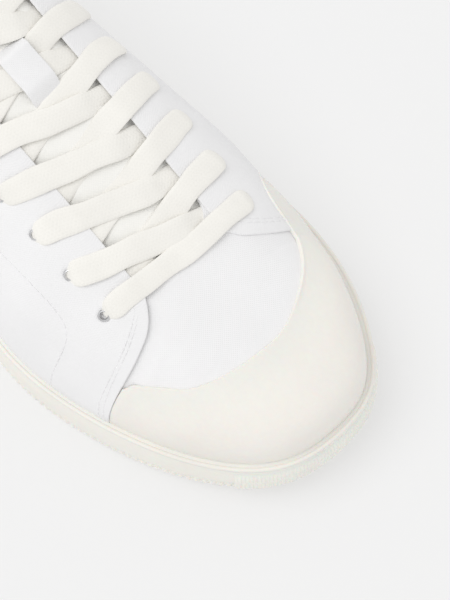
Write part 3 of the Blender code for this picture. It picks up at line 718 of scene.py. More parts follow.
def start_material(name, roughness, sheen=0.0, coat=0.0, subsurface=0.0):
    """Principled material with the values that are the same all over it."""
    made = bpy.data.materials.new(name)
    made.use_nodes = True
    shader = made.node_tree.nodes["Principled BSDF"]
    shader.inputs["Roughness"].default_value = roughness
    shader.inputs["Sheen Weight"].default_value = sheen
    shader.inputs["Sheen Roughness"].default_value = SHEEN_ROUGHNESS
    shader.inputs["Coat Weight"].default_value = coat
    shader.inputs["Coat Roughness"].default_value = COAT_ROUGHNESS
    shader.inputs["Subsurface Weight"].default_value = subsurface
    shader.inputs["Subsurface Scale"].default_value = GLOW_DEPTH
    return made, made.node_tree, shader


def add_group(tree, group, values):
    """Node of a shader group, with its sockets set or linked."""
    return add_node(tree, "ShaderNodeGroup", values, node_tree=group)


def mottled(tree, colour, dark, scale, amount):
    """Mottle over the piece's own coordinates, between a colour and the same one darkened to the share
    `dark`."""
    return add_group(tree, mottle_group(), {
        "Vector": add_node(tree, "ShaderNodeTexCoord").outputs["Object"],
        "Colour": (*colour, 1.0),
        "Second Colour": (*(c * dark for c in colour), 1.0),
        "Scale": scale,
        "Amount": amount,
    })


def wander_roughness(tree, shader, mask, least, most):
    """Lets the roughness follow a mask from one value to another."""
    span = add_node(tree, "ShaderNodeMapRange", {"Value": mask, "To Min": least, "To Max": most})
    tree.links.new(span.outputs["Result"], shader.inputs["Roughness"])


def paint_valley_shade(tree, shader, colour, light, values):
    """Colours a cloth with painted shade: its colour is dimmed in the valleys between threads, where shade
    falls. `values` are the settings of the range that turns `light` into the share of the colour that stays."""
    shade = add_node(tree, "ShaderNodeMapRange", {"Value": light, **values})
    dimmed = {0: colour, "Scale": shade.outputs["Result"]}
    shaded_colour = add_node(tree, "ShaderNodeVectorMath", dimmed, operation="SCALE")
    tree.links.new(shaded_colour.outputs["Vector"], shader.inputs["Base Color"])


def add_bump(tree, shader, height, distance):
    """Bump node between a height and the shader's normal, its distance in metres."""
    bump = add_node(tree, "ShaderNodeBump", {"Height": height, "Distance": distance, "Strength": 1.0})
    tree.links.new(bump.outputs["Normal"], shader.inputs["Normal"])


def rubber_material(name, colour, roughness, gloss):
    """Vulcanised rubber: faint cloudy colour, roughness that wanders a little and a very fine moulded
    grain."""
    if name in bpy.data.materials:
        return bpy.data.materials[name]
    made, tree, shader = start_material(name, roughness, coat=gloss, subsurface=0.15)
    mottle = mottled(tree, colour, dark=0.93, scale=45.0, amount=0.5)
    tree.links.new(mottle.outputs["Colour"], shader.inputs["Base Color"])
    wander_roughness(tree, shader, mottle.outputs["Mask"], roughness - 0.05, roughness + 0.12)
    place = add_node(tree, "ShaderNodeTexCoord").outputs["Object"]
    add_bump(tree, shader, noise(tree, place, GRAIN_SCALE, 2.0), GRAIN_DEPTH)
    return made


def cloth_material(name, colour, threads, depth, sheen):
    """Cotton canvas: plain weave along the cloth's own coordinates, uneven threads, a faintly cloudy colour
    and painted shade in the low places of the weave."""
    if name in bpy.data.materials:
        return bpy.data.materials[name]
    made, tree, shader = start_material(name, 0.9, sheen=sheen)
    cloth = add_node(tree, "ShaderNodeTexCoord").outputs["UV"]
    weave = add_group(tree, weave_group(), {"Vector": cloth, "Threads": threads, "Slub": 0.5})
    mottle = mottled(tree, colour, dark=0.955, scale=70.0, amount=0.5)
    # painted shade: the colour is darkened a little where the weave lies low
    shade = {"From Min": -1.0, "From Max": 1.0, "To Min": 0.965, "To Max": 1.0}
    paint_valley_shade(tree, shader, mottle.outputs["Colour"], weave.outputs["Height"], shade)
    add_bump(tree, shader, weave.outputs["Height"], depth)
    return made


def lace_material(name, colour, ribs, depth):
    """Flat woven cotton lace: chevron ribs with painted shade in their valleys and a soft fuzz."""
    if name in bpy.data.materials:
        return bpy.data.materials[name]
    made, tree, shader = start_material(name, 0.92, sheen=0.25)
    band = add_node(tree, "ShaderNodeTexCoord").outputs["UV"]
    braid = add_group(tree, braid_group(), {"Vector": band, "Ribs": ribs, "Slant": 0.8})
    mottle = mottled(tree, colour, dark=0.94, scale=120.0, amount=0.6)
    # painted shade: the colour is darkened a little in the braid's valleys
    shade = {"To Min": 1.0, "To Max": 0.975}
    paint_valley_shade(tree, shader, mottle.outputs["Colour"], braid.outputs["Valley Shade"], shade)
    add_bump(tree, shader, braid.outputs["Height"], depth)
    return made


def metal_material(name, colour, roughness):
    """Pressed metal with fine brushed wear in its roughness."""
    if name in bpy.data.materials:
        return bpy.data.materials[name]
    made, tree, shader = start_material(name, roughness)
    shader.inputs["Metallic"].default_value = 1.0
    mottle = mottled(tree, colour, dark=0.7, scale=600.0, amount=0.8)
    tree.links.new(mottle.outputs["Colour"], shader.inputs["Base Color"])
    wander_roughness(tree, shader, mottle.outputs["Mask"], roughness - 0.08, roughness + 0.2)
    return made


def paper_material(name, colour, glow):
    """Matte studio paper, lit from below as on a light table."""
    made, tree, shader = start_material(name, 0.95)
    shader.inputs["Emission Color"].default_value = (1.0, 1.0, 1.0, 1.0)
    shader.inputs["Emission Strength"].default_value = glow
    mottle = mottled(tree, colour, dark=0.995, scale=8.0, amount=0.5)
    tree.links.new(mottle.outputs["Colour"], shader.inputs["Base Color"])
    return made


# ---------------- properties


class SneakerRubberProperties(bpy.types.PropertyGroup):
    """Sizes and colours of the rubber parts."""

    rim_width: bpy.props.FloatProperty(
        name="Rim width", description="Width of the bead along the foxing's upper edge",
        default=1.35 * MM, min=0.0, precision=5, unit="LENGTH")
    rim_rise: bpy.props.FloatProperty(
        name="Rim rise", description="How far the bead stands over the foxing",
        default=0.3 * MM, min=0.0, precision=5, unit="LENGTH")
    notch_pitch: bpy.props.FloatProperty(
        name="Notch pitch", description="Distance between the notches of the outsole's edge",
        default=2.45 * MM, min=0.0, precision=5, unit="LENGTH")
    notch_depth: bpy.props.FloatProperty(
        name="Notch depth", description="Depth of the notches of the outsole's edge",
        default=0.45 * MM, min=0.0, precision=5, unit="LENGTH")
    tread_pitch: bpy.props.FloatProperty(
        name="Tread pitch", description="Distance between the chevron grooves below",
        default=10.5 * MM, min=0.0, precision=5, unit="LENGTH")
    tread_depth: bpy.props.FloatProperty(
        name="Tread depth", description="Depth of the chevron grooves below",
        default=1.2 * MM, min=0.0, precision=5, unit="LENGTH")
    bumper_pitch: bpy.props.FloatProperty(
        name="Bumper rib pitch", description="Distance between the ribs of the toe bumper",
        default=1.15 * MM, min=0.0, precision=5, unit="LENGTH")
    cap_wall: bpy.props.FloatProperty(
        name="Cap thickness", description="Thickness of the toe cap over the canvas",
        default=1.4 * MM, min=0.0, precision=5, unit="LENGTH")
    foxing_colour: bpy.props.FloatVectorProperty(
        name="Foxing colour", description="Colour of sole and foxing",
        default=(0.93, 0.905, 0.84), min=0.0, max=1.0, subtype="COLOR")
    rim_colour: bpy.props.FloatVectorProperty(
        name="Rim colour", description="Colour of the foxing's trimmed rim",
        default=(0.86, 0.84, 0.79), min=0.0, max=1.0, subtype="COLOR")
    cap_colour: bpy.props.FloatVectorProperty(
        name="Cap colour", description="Colour of the toe cap",
        default=(0.90, 0.865, 0.812), min=0.0, max=1.0, subtype="COLOR")


class SneakerCanvasProperties(bpy.types.PropertyGroup):
    """Sizes and colours of the canvas parts."""

    panel_wall: bpy.props.FloatProperty(
        name="Panel thickness", description="Thickness of a folded canvas panel",
        default=0.85 * MM, min=0.0, precision=5, unit="LENGTH")
    thread_count: bpy.props.FloatProperty(
        name="Threads", description="Threads of the weave in a millimetre", default=2.6, min=0.1)
    weave_depth: bpy.props.FloatProperty(
        name="Weave depth", description="Height of the weave",
        default=0.03 * MM, min=0.0, precision=5, unit="LENGTH")
    stitch_pitch: bpy.props.FloatProperty(
        name="Stitch pitch", description="Distance from one stitch to the next",
        default=2.6 * MM, min=0.0, precision=5, unit="LENGTH")
    stitch_length: bpy.props.FloatProperty(
        name="Stitch length", description="Length of one stitch",
        default=2.0 * MM, min=0.0, precision=5, unit="LENGTH")
    thread_radius: bpy.props.FloatProperty(
        name="Thread radius", description="Radius of the sewing thread",
        default=0.16 * MM, min=0.0, precision=5, unit="LENGTH")
    canvas_colour: bpy.props.FloatVectorProperty(
        name="Canvas colour", description="Colour of the upper",
        default=(0.906, 0.902, 0.907), min=0.0, max=1.0, subtype="COLOR")
    lining_colour: bpy.props.FloatVectorProperty(
        name="Lining colour", description="Colour of lining and footbed",
        default=(0.94, 0.935, 0.91), min=0.0, max=1.0, subtype="COLOR")
    tongue_colour: bpy.props.FloatVectorProperty(
        name="Tongue colour", description="Colour of the tongue",
        default=(0.942, 0.932, 0.897), min=0.0, max=1.0, subtype="COLOR")


class SneakerLaceProperties(bpy.types.PropertyGroup):
    """Sizes and colour of lace, tab and eyelets."""

    lace_width: bpy.props.FloatProperty(
        name="Lace width", description="Width of the flat lace",
        default=7.4 * MM, min=0.0, precision=5, unit="LENGTH")
    lace_wall: bpy.props.FloatProperty(
        name="Lace thickness", description="Thickness of the flat lace",
        default=1.15 * MM, min=0.0, precision=5, unit="LENGTH")
    tab_width: bpy.props.FloatProperty(
        name="Tab width", description="Width of the tongue's lace tab",
        default=10.1 * MM, min=0.0, precision=5, unit="LENGTH")
    eyelet_radius: bpy.props.FloatProperty(
        name="Eyelet radius", description="Outer radius of an eyelet's rolled edge",
        default=1.75 * MM, min=0.0, precision=5, unit="LENGTH")
    lace_colour: bpy.props.FloatVectorProperty(
        name="Lace colour", description="Colour of the lace",
        default=(0.917, 0.898, 0.85), min=0.0, max=1.0, subtype="COLOR")
    eyelet_colour: bpy.props.FloatVectorProperty(
        name="Eyelet colour", description="Colour of the eyelets",
        default=(0.72, 0.72, 0.73), min=0.0, max=1.0, subtype="COLOR")


class SneakerStageProperties(bpy.types.PropertyGroup):
    """Floor, light and camera."""

    azimuth: bpy.props.FloatProperty(
        name="Azimuth", description="Camera's turn round the shoe; 0 looks along +Y",
        default=float(np.radians(46.76)), subtype="ANGLE")
    elevation: bpy.props.FloatProperty(
        name="Elevation", description="Camera's height over the floor",
        default=float(np.radians(72.0)), subtype="ANGLE")
    distance: bpy.props.FloatProperty(
        name="Distance", description="Camera's distance from the toe", default=0.8, min=0.1, unit="LENGTH")
    lens: bpy.props.FloatProperty(
        name="Lens", description="Focal length on a sensor 36 mm wide",
        default=163.8, min=1.0, unit="CAMERA")
    floor_colour: bpy.props.FloatVectorProperty(
        name="Floor colour", description="Colour of the floor",
        default=(0.42, 0.42, 0.42), min=0.0, max=1.0, subtype="COLOR")
    floor_glow: bpy.props.FloatProperty(
        name="Floor glow", description="Light that comes up through the floor", default=0.445, min=0.0)
    key_strength: bpy.props.FloatProperty(
        name="Key light", description="Strength of the wide soft light, in watts a square metre",
        default=0.85, min=0.0)
    key_spread: bpy.props.FloatProperty(
        name="Key spread", description="Angle the key light covers",
        default=float(np.radians(38.0)), subtype="ANGLE")
    sky_strength: bpy.props.FloatProperty(
        name="Sky strength", description="Strength of the even light from all round", default=0.80, min=0.0)


def mm(size):
    """A property's size in millimetres."""
    return size / MM


def rubber():
    """Rubber settings."""
    return bpy.context.scene.sneaker_rubber


def canvas():
    """Canvas settings."""
    return bpy.context.scene.sneaker_canvas


def lace():
    """Lace settings."""
    return bpy.context.scene.sneaker_lace


def foxing_finish():
    """Material of sole, foxing and bumper."""
    return rubber_material("foxing rubber", rubber().foxing_colour, roughness=0.5, gloss=0.05)


def rim_finish():
    """Material of the foxing's trimmed rim."""
    return rubber_material("rim rubber", rubber().rim_colour, roughness=0.55, gloss=0.05)


def cap_finish():
    """Material of the toe cap."""
    return rubber_material("cap rubber", rubber().cap_colour, roughness=0.46, gloss=0.08)


def canvas_finish():
    """Material of the canvas panels."""
    cloth = canvas()
    threads = cloth.thread_count
    return cloth_material("canvas cloth", cloth.canvas_colour, threads, cloth.weave_depth, sheen=0.15)


def lining_finish():
    """Material of lining and footbed."""
    cloth = canvas()
    depth = cloth.weave_depth
    return cloth_material("lining cloth", cloth.lining_colour, threads=1.5, depth=depth, sheen=0.2)


def tongue_finish():
    """Material of the tongue."""
    cloth = canvas()
    depth = 0.5 * cloth.weave_depth
    return cloth_material("tongue cloth", cloth.tongue_colour, threads=2.2, depth=depth, sheen=0.2)


def thread_finish():
    """Material of the sewing thread."""
    return cloth_material("thread", canvas().canvas_colour, threads=4.0, depth=THREAD_DEPTH, sheen=0.1)


def lace_finish():
    """Material of the lace."""
    return lace_material("lace cotton", lace().lace_colour, ribs=0.9, depth=THREAD_DEPTH)


def eyelet_finish():
    """Material of the eyelets."""
    return metal_material("eyelet metal", lace().eyelet_colour, roughness=0.38)


# ---------------- sole

TREAD_WIDTH = 3.0
TREAD_MARGIN = 7.0
TREAD_CHEVRON = 6.0
TREAD_CHEVRON_HALF = 45.0
TREAD_SIDE = 0.6
TREAD_COLUMNS = 46
TREAD_BEVEL = 1.2
PLATFORM_INSET = 5.0
PLATFORM_RISE = 2.5
OUTSOLE_SECTION = (
    # inset from the sole's edge, share of the notches' depth, height over the sole's lower face
    (1.30, 0.0, 0.0),
    (0.75, 0.0, 0.02),
    (0.35, 0.5, 0.18),
    (0.08, 1.0, 0.55),
    (0.00, 1.0, 1.2),
    (0.00, 1.0, 2.6),
    (0.05, 1.0, 3.2),
    (0.12, 0.4, 3.65),
    (0.35, 0.0, 3.9),
    (0.80, 0.0, OUTSOLE_EDGE),
    (3.20, 0.0, OUTSOLE_EDGE),
    (3.20, 0.0, 0.4),
)
OUTSOLE_POINTS = 2400
SOLE_LENGTH = 600.0
SOLE_WIDTH = 60.0


def over_sole(amount):
    """Height over the sole's lower face, as a function of x."""
    return lambda x: sole_lift(x) + amount


def over_top(amount):
    """Height over the foxing's top, as a function of x."""
    return lambda x: foxing_top(x) + amount


def tread_height(x, y, edge_gap):
    """Depth of the tread over a plan place: chevrons are strips of x, less a lead that grows towards the
    middle, and they fade out in the plain border along the edge."""
    lead = TREAD_CHEVRON * (1 - np.clip(np.abs(y - table(RIDGE, 1, x)) / TREAD_CHEVRON_HALF, 0, 1))
    pitch = mm(rubber().tread_pitch)
    place = np.mod(x - lead, pitch) - pitch / 2
    groove = 1 - ramp(np.abs(place), TREAD_WIDTH / 2 - TREAD_SIDE, TREAD_WIDTH / 2 + TREAD_SIDE)
    inside = ramp(edge_gap, TREAD_MARGIN - TREAD_SIDE, TREAD_MARGIN + TREAD_SIDE)
    return mm(rubber().tread_depth) * groove * inside


def plan_ribs(side, girths, rib_reach, shares):
    """Plan points of ribs, level and straight from the ridge line out to `rib_reach`, with their
    directions."""
    foot, way = rib(side, girths)
    return foot[:, None] + way[:, None] * (rib_reach[:, None] * shares)[..., None], way


def tread_grid():
    """Underside: ribs from the middle line out to the bevel, then up to a hidden platform under the
    footbed."""
    shares = np.r_[np.linspace(0, 0.98, TREAD_COLUMNS), 1.0]
    platform = over_sole(OUTSOLE_EDGE + PLATFORM_RISE)
    rows = []
    for side, girths, _ in ribs_round(step=3, first=0):
        far = np.interp(girths, GIRTHS, SOLE_REACH[side]) - TREAD_BEVEL
        flat, way = plan_ribs(side, girths, far, shares)
        x, y = flat[..., 0], flat[..., 1]
        height = sole_lift(x) + tread_height(x, y, far[:, None] * (1 - shares))
        low = np.concatenate([flat, height[..., None]], -1)
        inset = flat[:, -1:] - way[:, None] * PLATFORM_INSET
        wall, middle = (np.concatenate([at, platform(at[..., :1])], -1) for at in (inset, flat[:, :1]))
        rows.append(np.concatenate([low, wall, middle], axis=1))
    points = np.concatenate(rows)
    around = np.linspace(0, SOLE_LENGTH, len(points) + 1)
    return points, True, False, around, np.linspace(0, SOLE_WIDTH, points.shape[1])


def edge_ring_grid(sections, count):
    """Closed band round the sole. Sections are (inset, height as a function of x); an inset may be one
    value a point. The band's cloth coordinates are the way round and the way over the section."""
    base = outline_curve(count=count)
    rows = [np.column_stack([outline_curve(inset, count), height(base[:, 0])]) for inset, height in sections]
    points = np.stack(rows, axis=1)
    return points, True, True, closed_run_length(base), closed_run_length(points[0])


def make_outsole():
    """Outsole: chevron tread below and a finely notched edge all round."""
    length = closed_run_length(outline_curve(count=OUTSOLE_POINTS))[-1]
    notches = round(length / mm(rubber().notch_pitch))
    wave = 0.5 - 0.5 * np.cos(2 * np.pi * notches * np.arange(OUTSOLE_POINTS) / OUTSOLE_POINTS)
    cut = mm(rubber().notch_depth) * wave ** 2
    sections = [(inset + share * cut, over_sole(up)) for inset, share, up in OUTSOLE_SECTION]
    grids = [tread_grid(), edge_ring_grid(sections, OUTSOLE_POINTS)]
    write_piece("outsole_tread", grids, foxing_finish(), ("outsole",), crease=50)


# ---------------- foxing

FOXING_POINTS = 1400
FOXING_FOOT = (
    # inset from the sole's edge, height over the outsole's edge
    (FOXING_WALL, 0.1),
    (0.5, 0.08),
    (0.12, 0.2),
    (0.0, 0.6),
    (0.03, 3.0),
)
FOXING_HEAD = (
    # inset from the sole's edge, height over the foxing's top
    (0.06, -6.0),
    (0.12, -3.2),
    (0.26, -2.3),
    (0.3, -1.65),
    (1.0, -1.6),
    (FOXING_WALL, -3.0),
)
RIM_INSET = 0.1
RIM_SHOULDER = 0.35
RIM_TURN = 0.85
RIM_POINTS = 12
RIM_LEDGE = (
    # inset from the sole's edge, height over the foxing's top: the flat ledge between the bead and the upper
    (1.52, -0.10),
    (1.78, 0.02),
    (2.05, 0.08),
    (2.30, 0.08),
    (2.55, 0.06),
    (2.95, 0.05),
    (2.95, -3.0),
    (0.60, -3.0),
    (0.60, -1.9),
    (0.30, -1.6),
    (0.14, -1.1),
)


def make_foxing():
    """Foxing: a smooth band round the sole."""
    foot = [(inset, over_sole(OUTSOLE_EDGE + up)) for inset, up in FOXING_FOOT]
    head = [(inset, over_top(up)) for inset, up in FOXING_HEAD]
    grid = edge_ring_grid(foot + head, FOXING_POINTS)
    write_piece("foxing_band", [grid], foxing_finish(), ("foxing",))


def make_foxing_rim():
    """Rim of the foxing: a round bead along the outer edge and a flat ledge from it to the upper."""
    width, rise = mm(rubber().rim_width), mm(rubber().rim_rise)
    turn = np.linspace(0, RIM_TURN * np.pi, RIM_POINTS)
    across = RIM_INSET + 0.5 * width * (1 - np.cos(turn))
    height = (RIM_SHOULDER + rise) * np.sin(turn) - RIM_SHOULDER
    sections = [(inset, over_top(up)) for inset, up in (*zip(across, height), *RIM_LEDGE)]
    write_piece("foxing_rim", [edge_ring_grid(sections, FOXING_POINTS)], rim_finish())


BUMPER_POINTS = 4800
BUMPER_SPAN = 34.0
BUMPER_END = 1.5
BUMPER_FOOT = 0.7
BUMPER_HEAD = 3.0
BUMPER_BACK = 0.2
BUMPER_SKIN = 0.25
BUMPER_SINK = 0.1
BUMPER_PLUMP = 0.55
BUMPER_PLUMP_END = 0.4
BUMPER_PLUMP_FALL = (1.0, 0.72)
BUMPER_SKIN_FALL = (1.02, 0.8)
BUMPER_LINE = (0.04, 0.08)
BUMPER_RIB_RISE = (0.05, 0.1)
BUMPER_RIB_FALL = (0.95, 0.9)
BUMPER_STEPS = (0.0, 0.03, 0.06, *np.linspace(0.1, 0.9, 17), 0.94, 0.97, 1.0)
BUMPER_RIB = 0.2
BUMPER_ROUND = 36.0


def bumper_out(step, wave, ends):
    """How far the bumper stands out at a share `step` of its height: a full round strip that thins to its
    upper edge, with ribs over both halves but not over the smooth line between them."""
    ribbed = ramp(np.abs(step - 0.5), *BUMPER_LINE) * ramp(step, *BUMPER_RIB_RISE)
    ribbed = ribbed * ramp(step, *BUMPER_RIB_FALL)
    plump = BUMPER_PLUMP * np.sqrt(np.clip(1 - (2 * step - 1) ** 8, 0, 1)) * ramp(step, *BUMPER_PLUMP_FALL)
    skin = BUMPER_SKIN * ramp(step, *BUMPER_SKIN_FALL) - BUMPER_SINK
    full = plump * (BUMPER_PLUMP_END + (1 - BUMPER_PLUMP_END) * ends)
    return skin + full + BUMPER_RIB * wave * ribbed * ends


def make_toe_bumper():
    """Toe bumper: a thin strip with two rows of fine upright ribs, parted by a smooth line."""
    base = outline_curve(count=BUMPER_POINTS)
    way = run_length(base)
    span = way - way[np.argmax(base[:, 0])]
    keep = np.abs(span) < BUMPER_SPAN
    span, base, outward = span[keep], base[keep], outward_normals(base)[keep]
    wave = 0.5 + 0.5 * np.cos(2 * np.pi * span / mm(rubber().bumper_pitch))
    ends = ramp(BUMPER_SPAN - np.abs(span), 0.0, BUMPER_END)
    low = sole_lift(base[:, 0]) + BUMPER_FOOT
    high = foxing_top(base[:, 0]) - BUMPER_HEAD
    outer = np.stack([np.column_stack([base + outward * bumper_out(step, wave, ends)[:, None],
                                       low + (high - low) * step]) for step in BUMPER_STEPS], axis=1)
    back = np.repeat((base - outward * BUMPER_BACK)[:, None], len(BUMPER_STEPS), axis=1)
    inner = np.concatenate([back, outer[..., 2:]], axis=-1)
    points = capped(np.concatenate([outer, inner[:, ::-1]], axis=1))
    around = np.linspace(0, BUMPER_ROUND, points.shape[1] + 1)
    grid = (points, False, True, np.r_[span[0], span, span[-1]], around)
    write_piece("toe_bumper_ribs", [grid], foxing_finish(), ("toe_bumper",))


# ---------------- toe cap

CAP_FOOT_SHARE = 0.3 * WALL_SHARE
CAP_MID_WALL = 0.3
CAP_MID_SPAN = (0.0, 16.0)
CAP_SIDE_WALL = 0.42
CAP_SIDE_SPAN = (1.5, 14.0)
CAP_LIP = 0.28
CAP_LIP_PLACE = 0.55
CAP_LIP_SPREAD = 0.4
CAP_LIP_TURN = (30.0, 62.0)
CAP_LAP = 0.4
CAP_LAP_LEAST = 0.02
CAP_LAP_SPAN = (0.0, 6.0)
CAP_UNDERSIDE = 0.12
CAP_STEEP = 0.3
CAP_STEEP_TURN = (15.0, 60.0)
CAP_STEEP_FULLER = 0.4
CAP_START_X = {RIGHT: 212.35, LEFT: 184.5}
CAP_SEAM = 1.4
CAP_HEIGHT = 60.0
CAP_CELL = 0.9
CAP_HEM = 1.2
CAP_RIB_STEP = 0.4
CAP_RIB_GAP = 0.1
CAP_EDGE_LEAST = 0.15
TOE_RIBS = 150
CAP_WING = (
    # x, distance of the inner wing's upper edge from the throat's middle line
    (184.0, 42.6),
    (189.0, 38.6),
    (194.0, 35.3),
    (200.0, 33.0),
    (207.0, 31.8),
    (214.0, 31.1),
)


def cap_border(side, girths):
    """Share of the cap's rear edge. On the inner side a low wing runs back over the quarter."""
    x = rib(side, girths)[0][..., 0]
    across = THROAT_CENTRE_Y + side * table(CAP_WING, 1, x) - table(RIDGE, 1, x)
    wing = share_at_reach(side, np.minimum(girths, TOE_TURN_START), np.abs(across))
    edge = cap_edge_share(side, np.maximum(girths, TOE_TURN_START - CAP_SEAM) if side == RIGHT else girths)
    return np.where((girths < TOE_TURN_START) & (side == LEFT), wing, edge)


def cap_wall(side, angle, inward):
    """Thickness of the cap at a distance `inward` from its rear edge: a feather edge in front and on the
    outer side, a raised lip on the inner side."""
    lipped = ramp(angle, *CAP_LIP_TURN) * (side == LEFT)
    full = mm(rubber().cap_wall)
    thin = CAP_MID_WALL + (full - CAP_MID_WALL) * ramp(inward, *CAP_MID_SPAN)
    raised = CAP_SIDE_WALL + (full - CAP_SIDE_WALL) * ramp(inward, *CAP_SIDE_SPAN)
    raised += CAP_LIP * np.exp(-((inward - CAP_LIP_PLACE) / CAP_LIP_SPREAD) ** 2)
    return thin * (1 - lipped) + raised * lipped


def cap_squeeze(foot, angle, share):
    """Share of the cap's height over the last that is left low down, where it fills the room between canvas
    and foxing. The room closes higher up the wall round the inner front."""
    steep = CAP_STEEP * ramp(angle, *CAP_STEEP_TURN)
    room = (upper_inset(foot) - FOXING_WALL) / (upper_inset(TOE_CENTRE_X) - FOXING_WALL)
    rise = ramp((share - WALL_SHARE) / (WALL_SHARE + steep), 1.0, 0.0)
    return 1 - (1 - room * (1 - CAP_STEEP_FULLER * steep / CAP_STEEP)) * rise


def cap_faces(side, girths, v):
    """Outer and inner face of the cap, rib by rib."""
    share = CAP_FOOT_SHARE + (cap_border(side, girths)[:, None] - CAP_FOOT_SHARE) * v
    girth = np.repeat(girths[:, None], len(v), axis=1)
    step = np.linalg.norm(np.diff(surface(side, girth, share), axis=1), axis=-1)
    inward = np.concatenate([np.cumsum(step[:, ::-1], axis=1)[:, ::-1], np.zeros((len(girths), 1))], axis=1)
    foot, way = rib(side, girths[:, None])
    angle = np.degrees(np.arctan2(way[..., 1], way[..., 0]))
    wall = cap_wall(side, angle, inward)
    edge = np.sqrt(1 - (1 - np.clip(inward / (0.5 * wall), 0, 1)) ** 2)
    base = CAP_LAP_LEAST + (CAP_LAP - CAP_LAP_LEAST) * ramp(inward, *CAP_LAP_SPAN)
    outer = base + (CAP_LAP + wall - base) * (CAP_EDGE_LEAST + (1 - CAP_EDGE_LEAST) * edge)
    squeeze = cap_squeeze(foot[..., 0], angle, share)
    offs = outer * squeeze, base * squeeze - CAP_UNDERSIDE
    return [offset_surface(side, girth, share, off) for off in offs]


def make_toe_cap():
    """Toe cap: one sheet of rubber carried round the toe from its outer end to the tip of its inner
    wing."""
    v = hem_steps(CAP_HEIGHT, CAP_CELL, CAP_HEM)
    turn = np.linspace(TOE_TURN_START, TOE_END, TOE_RIBS)
    halves = []
    for side in (RIGHT, LEFT):
        start = np.arange(girth_at(CAP_START_X[side]), TOE_TURN_START - CAP_RIB_GAP, CAP_RIB_STEP)
        girths = np.r_[start, turn]
        order = slice(None) if side == RIGHT else slice(-2, None, -1)
        way = girths if side == RIGHT else 2 * TOE_END - girths
        halves.append([rows[order] for rows in (*cap_faces(side, girths, v), way)])
    outer, inner, span = (np.concatenate(rows) for rows in zip(*halves))
    ends = 0.5 * (outer[[0, -1]] + inner[[0, -1]])
    ends = np.concatenate([ends, ends[:, ::-1]], axis=1)
    points = np.concatenate([outer, inner[:, ::-1]], axis=1)
    points = np.concatenate([ends[:1], points, ends[1:]])
    around = np.linspace(0, 2 * CAP_HEIGHT, points.shape[1] + 1)
    grid = (points, False, True, np.r_[span[0], span, span[-1]], around)
    write_piece("toe_cap_rubber", [grid], cap_finish(), ("toe_cap",))


# ---------------- canvas panels

QUARTER_FRONT = {
    # distance from the throat's middle line, x
    RIGHT: (
        (14.9, 200.2),
        (16.2, 202.6),
        (18.7, 205.9),
        (21.6, 208.2),
        (24.5, 209.5),
        (28.0, 210.7),
        (31.9, 211.6),
        (36.0, 212.1),
        (41.5, 212.3),
    ),
    LEFT: (
        (14.9, 202.0),
        (17.3, 204.9),
        (19.7, 206.6),
        (22.3, 208.0),
        (26.4, 209.9),
        (30.4, 211.2),
        (40.5, 212.8),
    ),
}
QUARTER_SIZE = (217.0, 82.0)
QUARTER_CELL = (0.95, 0.95)
QUARTER_FRONT_POINTS = 240
QUARTER_TOP_OFF = 0.65
SWELL_FADE = (0.5, 0.16)
WALL_FADE = (0.13, 0.24)
HEM = 0.42
PUCKER_LENGTH = 240.0
EYELET_DENT = 1.7
EYELET_DENT_RUN = 0.9


def quarter_front(side):
    """Front edge of a quarter as (place up the rib, girth), both ways rising from the sole to the
    throat."""
    rows = QUARTER_FRONT[side]
    across = np.linspace(rows[-1][0], rows[0][0], QUARTER_FRONT_POINTS)
    x = table(rows, 1, across)
    girth = girth_at(x)
    level = np.abs(THROAT_CENTRE_Y + side * across - table(RIDGE, 1, x))
    place = share_at_reach(side, girth, level) / throat_share(side, girth)
    return np.maximum.accumulate(place), girth


def quarter_place(side):
    """Function from (u, v, off) to points of a quarter: u runs from the heel seam to the front edge, v up
    the rib."""
    up, front = quarter_front(side)

    def place(u, v, off):
        girth = u * np.interp(v, up, front)
        return offset_surface(side, girth, v * panel_top(side, girth), off)

    return place


def side_swell(side, girth, share):
    """How far the outer quarter stands out low beside the cap, where the last is drawn in to make room for
    it."""
    x = rib(side, girth)[0][..., 0]
    return CAP_INSET * ramp(x, *CAP_INSET_SPAN) * ramp(share, *SWELL_FADE) * (side == RIGHT)


def quarter_off(side, girth, up):
    """Height of a quarter's face over the last, at a place `up` its rib."""
    return QUARTER_TOP_OFF * ramp(up, *WALL_FADE) + side_swell(side, girth, up)


def puckers(side, girth, share):
    """Soft unevenness of the canvas: three long waves across and along the panel, a few hundredths high."""
    return (0.07 * np.sin(girth / 9.0 + 2.1 * side) * np.sin(share * 17.0 + 0.6)
            + 0.05 * np.sin(girth / 4.3 + share * 11.0 + side)
            + 0.04 * np.sin(girth / 14.0 - share * 23.0))


def eyelet_dent(side, points):
    """Depth by which the panel dips into each eyelet, from its points' plan distance to the eyelets."""
    gap = np.linalg.norm(points[..., None, :2] - eyelet_spots(side), axis=-1).min(axis=-1)
    radius = mm(lace().eyelet_radius)
    return EYELET_DENT * ramp(gap, radius, radius - EYELET_DENT_RUN)


def make_quarters():
    """Quarters: two canvas panels from the heel seam to the vamp, with folded rounded edges."""
    for side in (RIGHT, LEFT):
        place = quarter_place(side)

        def wall(u, v):
            girth = u * np.interp(v, *quarter_front(side))
            high = quarter_off(side, girth, v) + puckers(side, u * PUCKER_LENGTH, v) * ramp(v, *WALL_FADE)
            high = high - eyelet_dent(side, place(u, v, 0.0))
            return high - mm(canvas().panel_wall), high

        grid = panel_grid(place, QUARTER_SIZE, QUARTER_CELL, HEM, wall)
        write_piece(f"quarter_{SIDE_NAMES[side]}", [grid], canvas_finish())


VAMP_BACK_X = 189.0
VAMP_LOW_SHARE = 0.06
VAMP_HEIGHT = 70.0
VAMP_CELL = 1.0
VAMP_RIB_STEP = 0.5
VAMP_OFF = -0.05
VAMP_TUCK = {RIGHT: 0.85, LEFT: 0.12}
VAMP_TUCK_REACH = (7.0, 1.0)
VAMP_TUCK_RISE = (0.28, 0.65)
VAMP_TUCK_FALL = (0.97, 0.85)
VAMP_PUCKER_RISE = (0.2, 0.4)
VAMP_PUCKER_FALL = (0.95, 0.8)


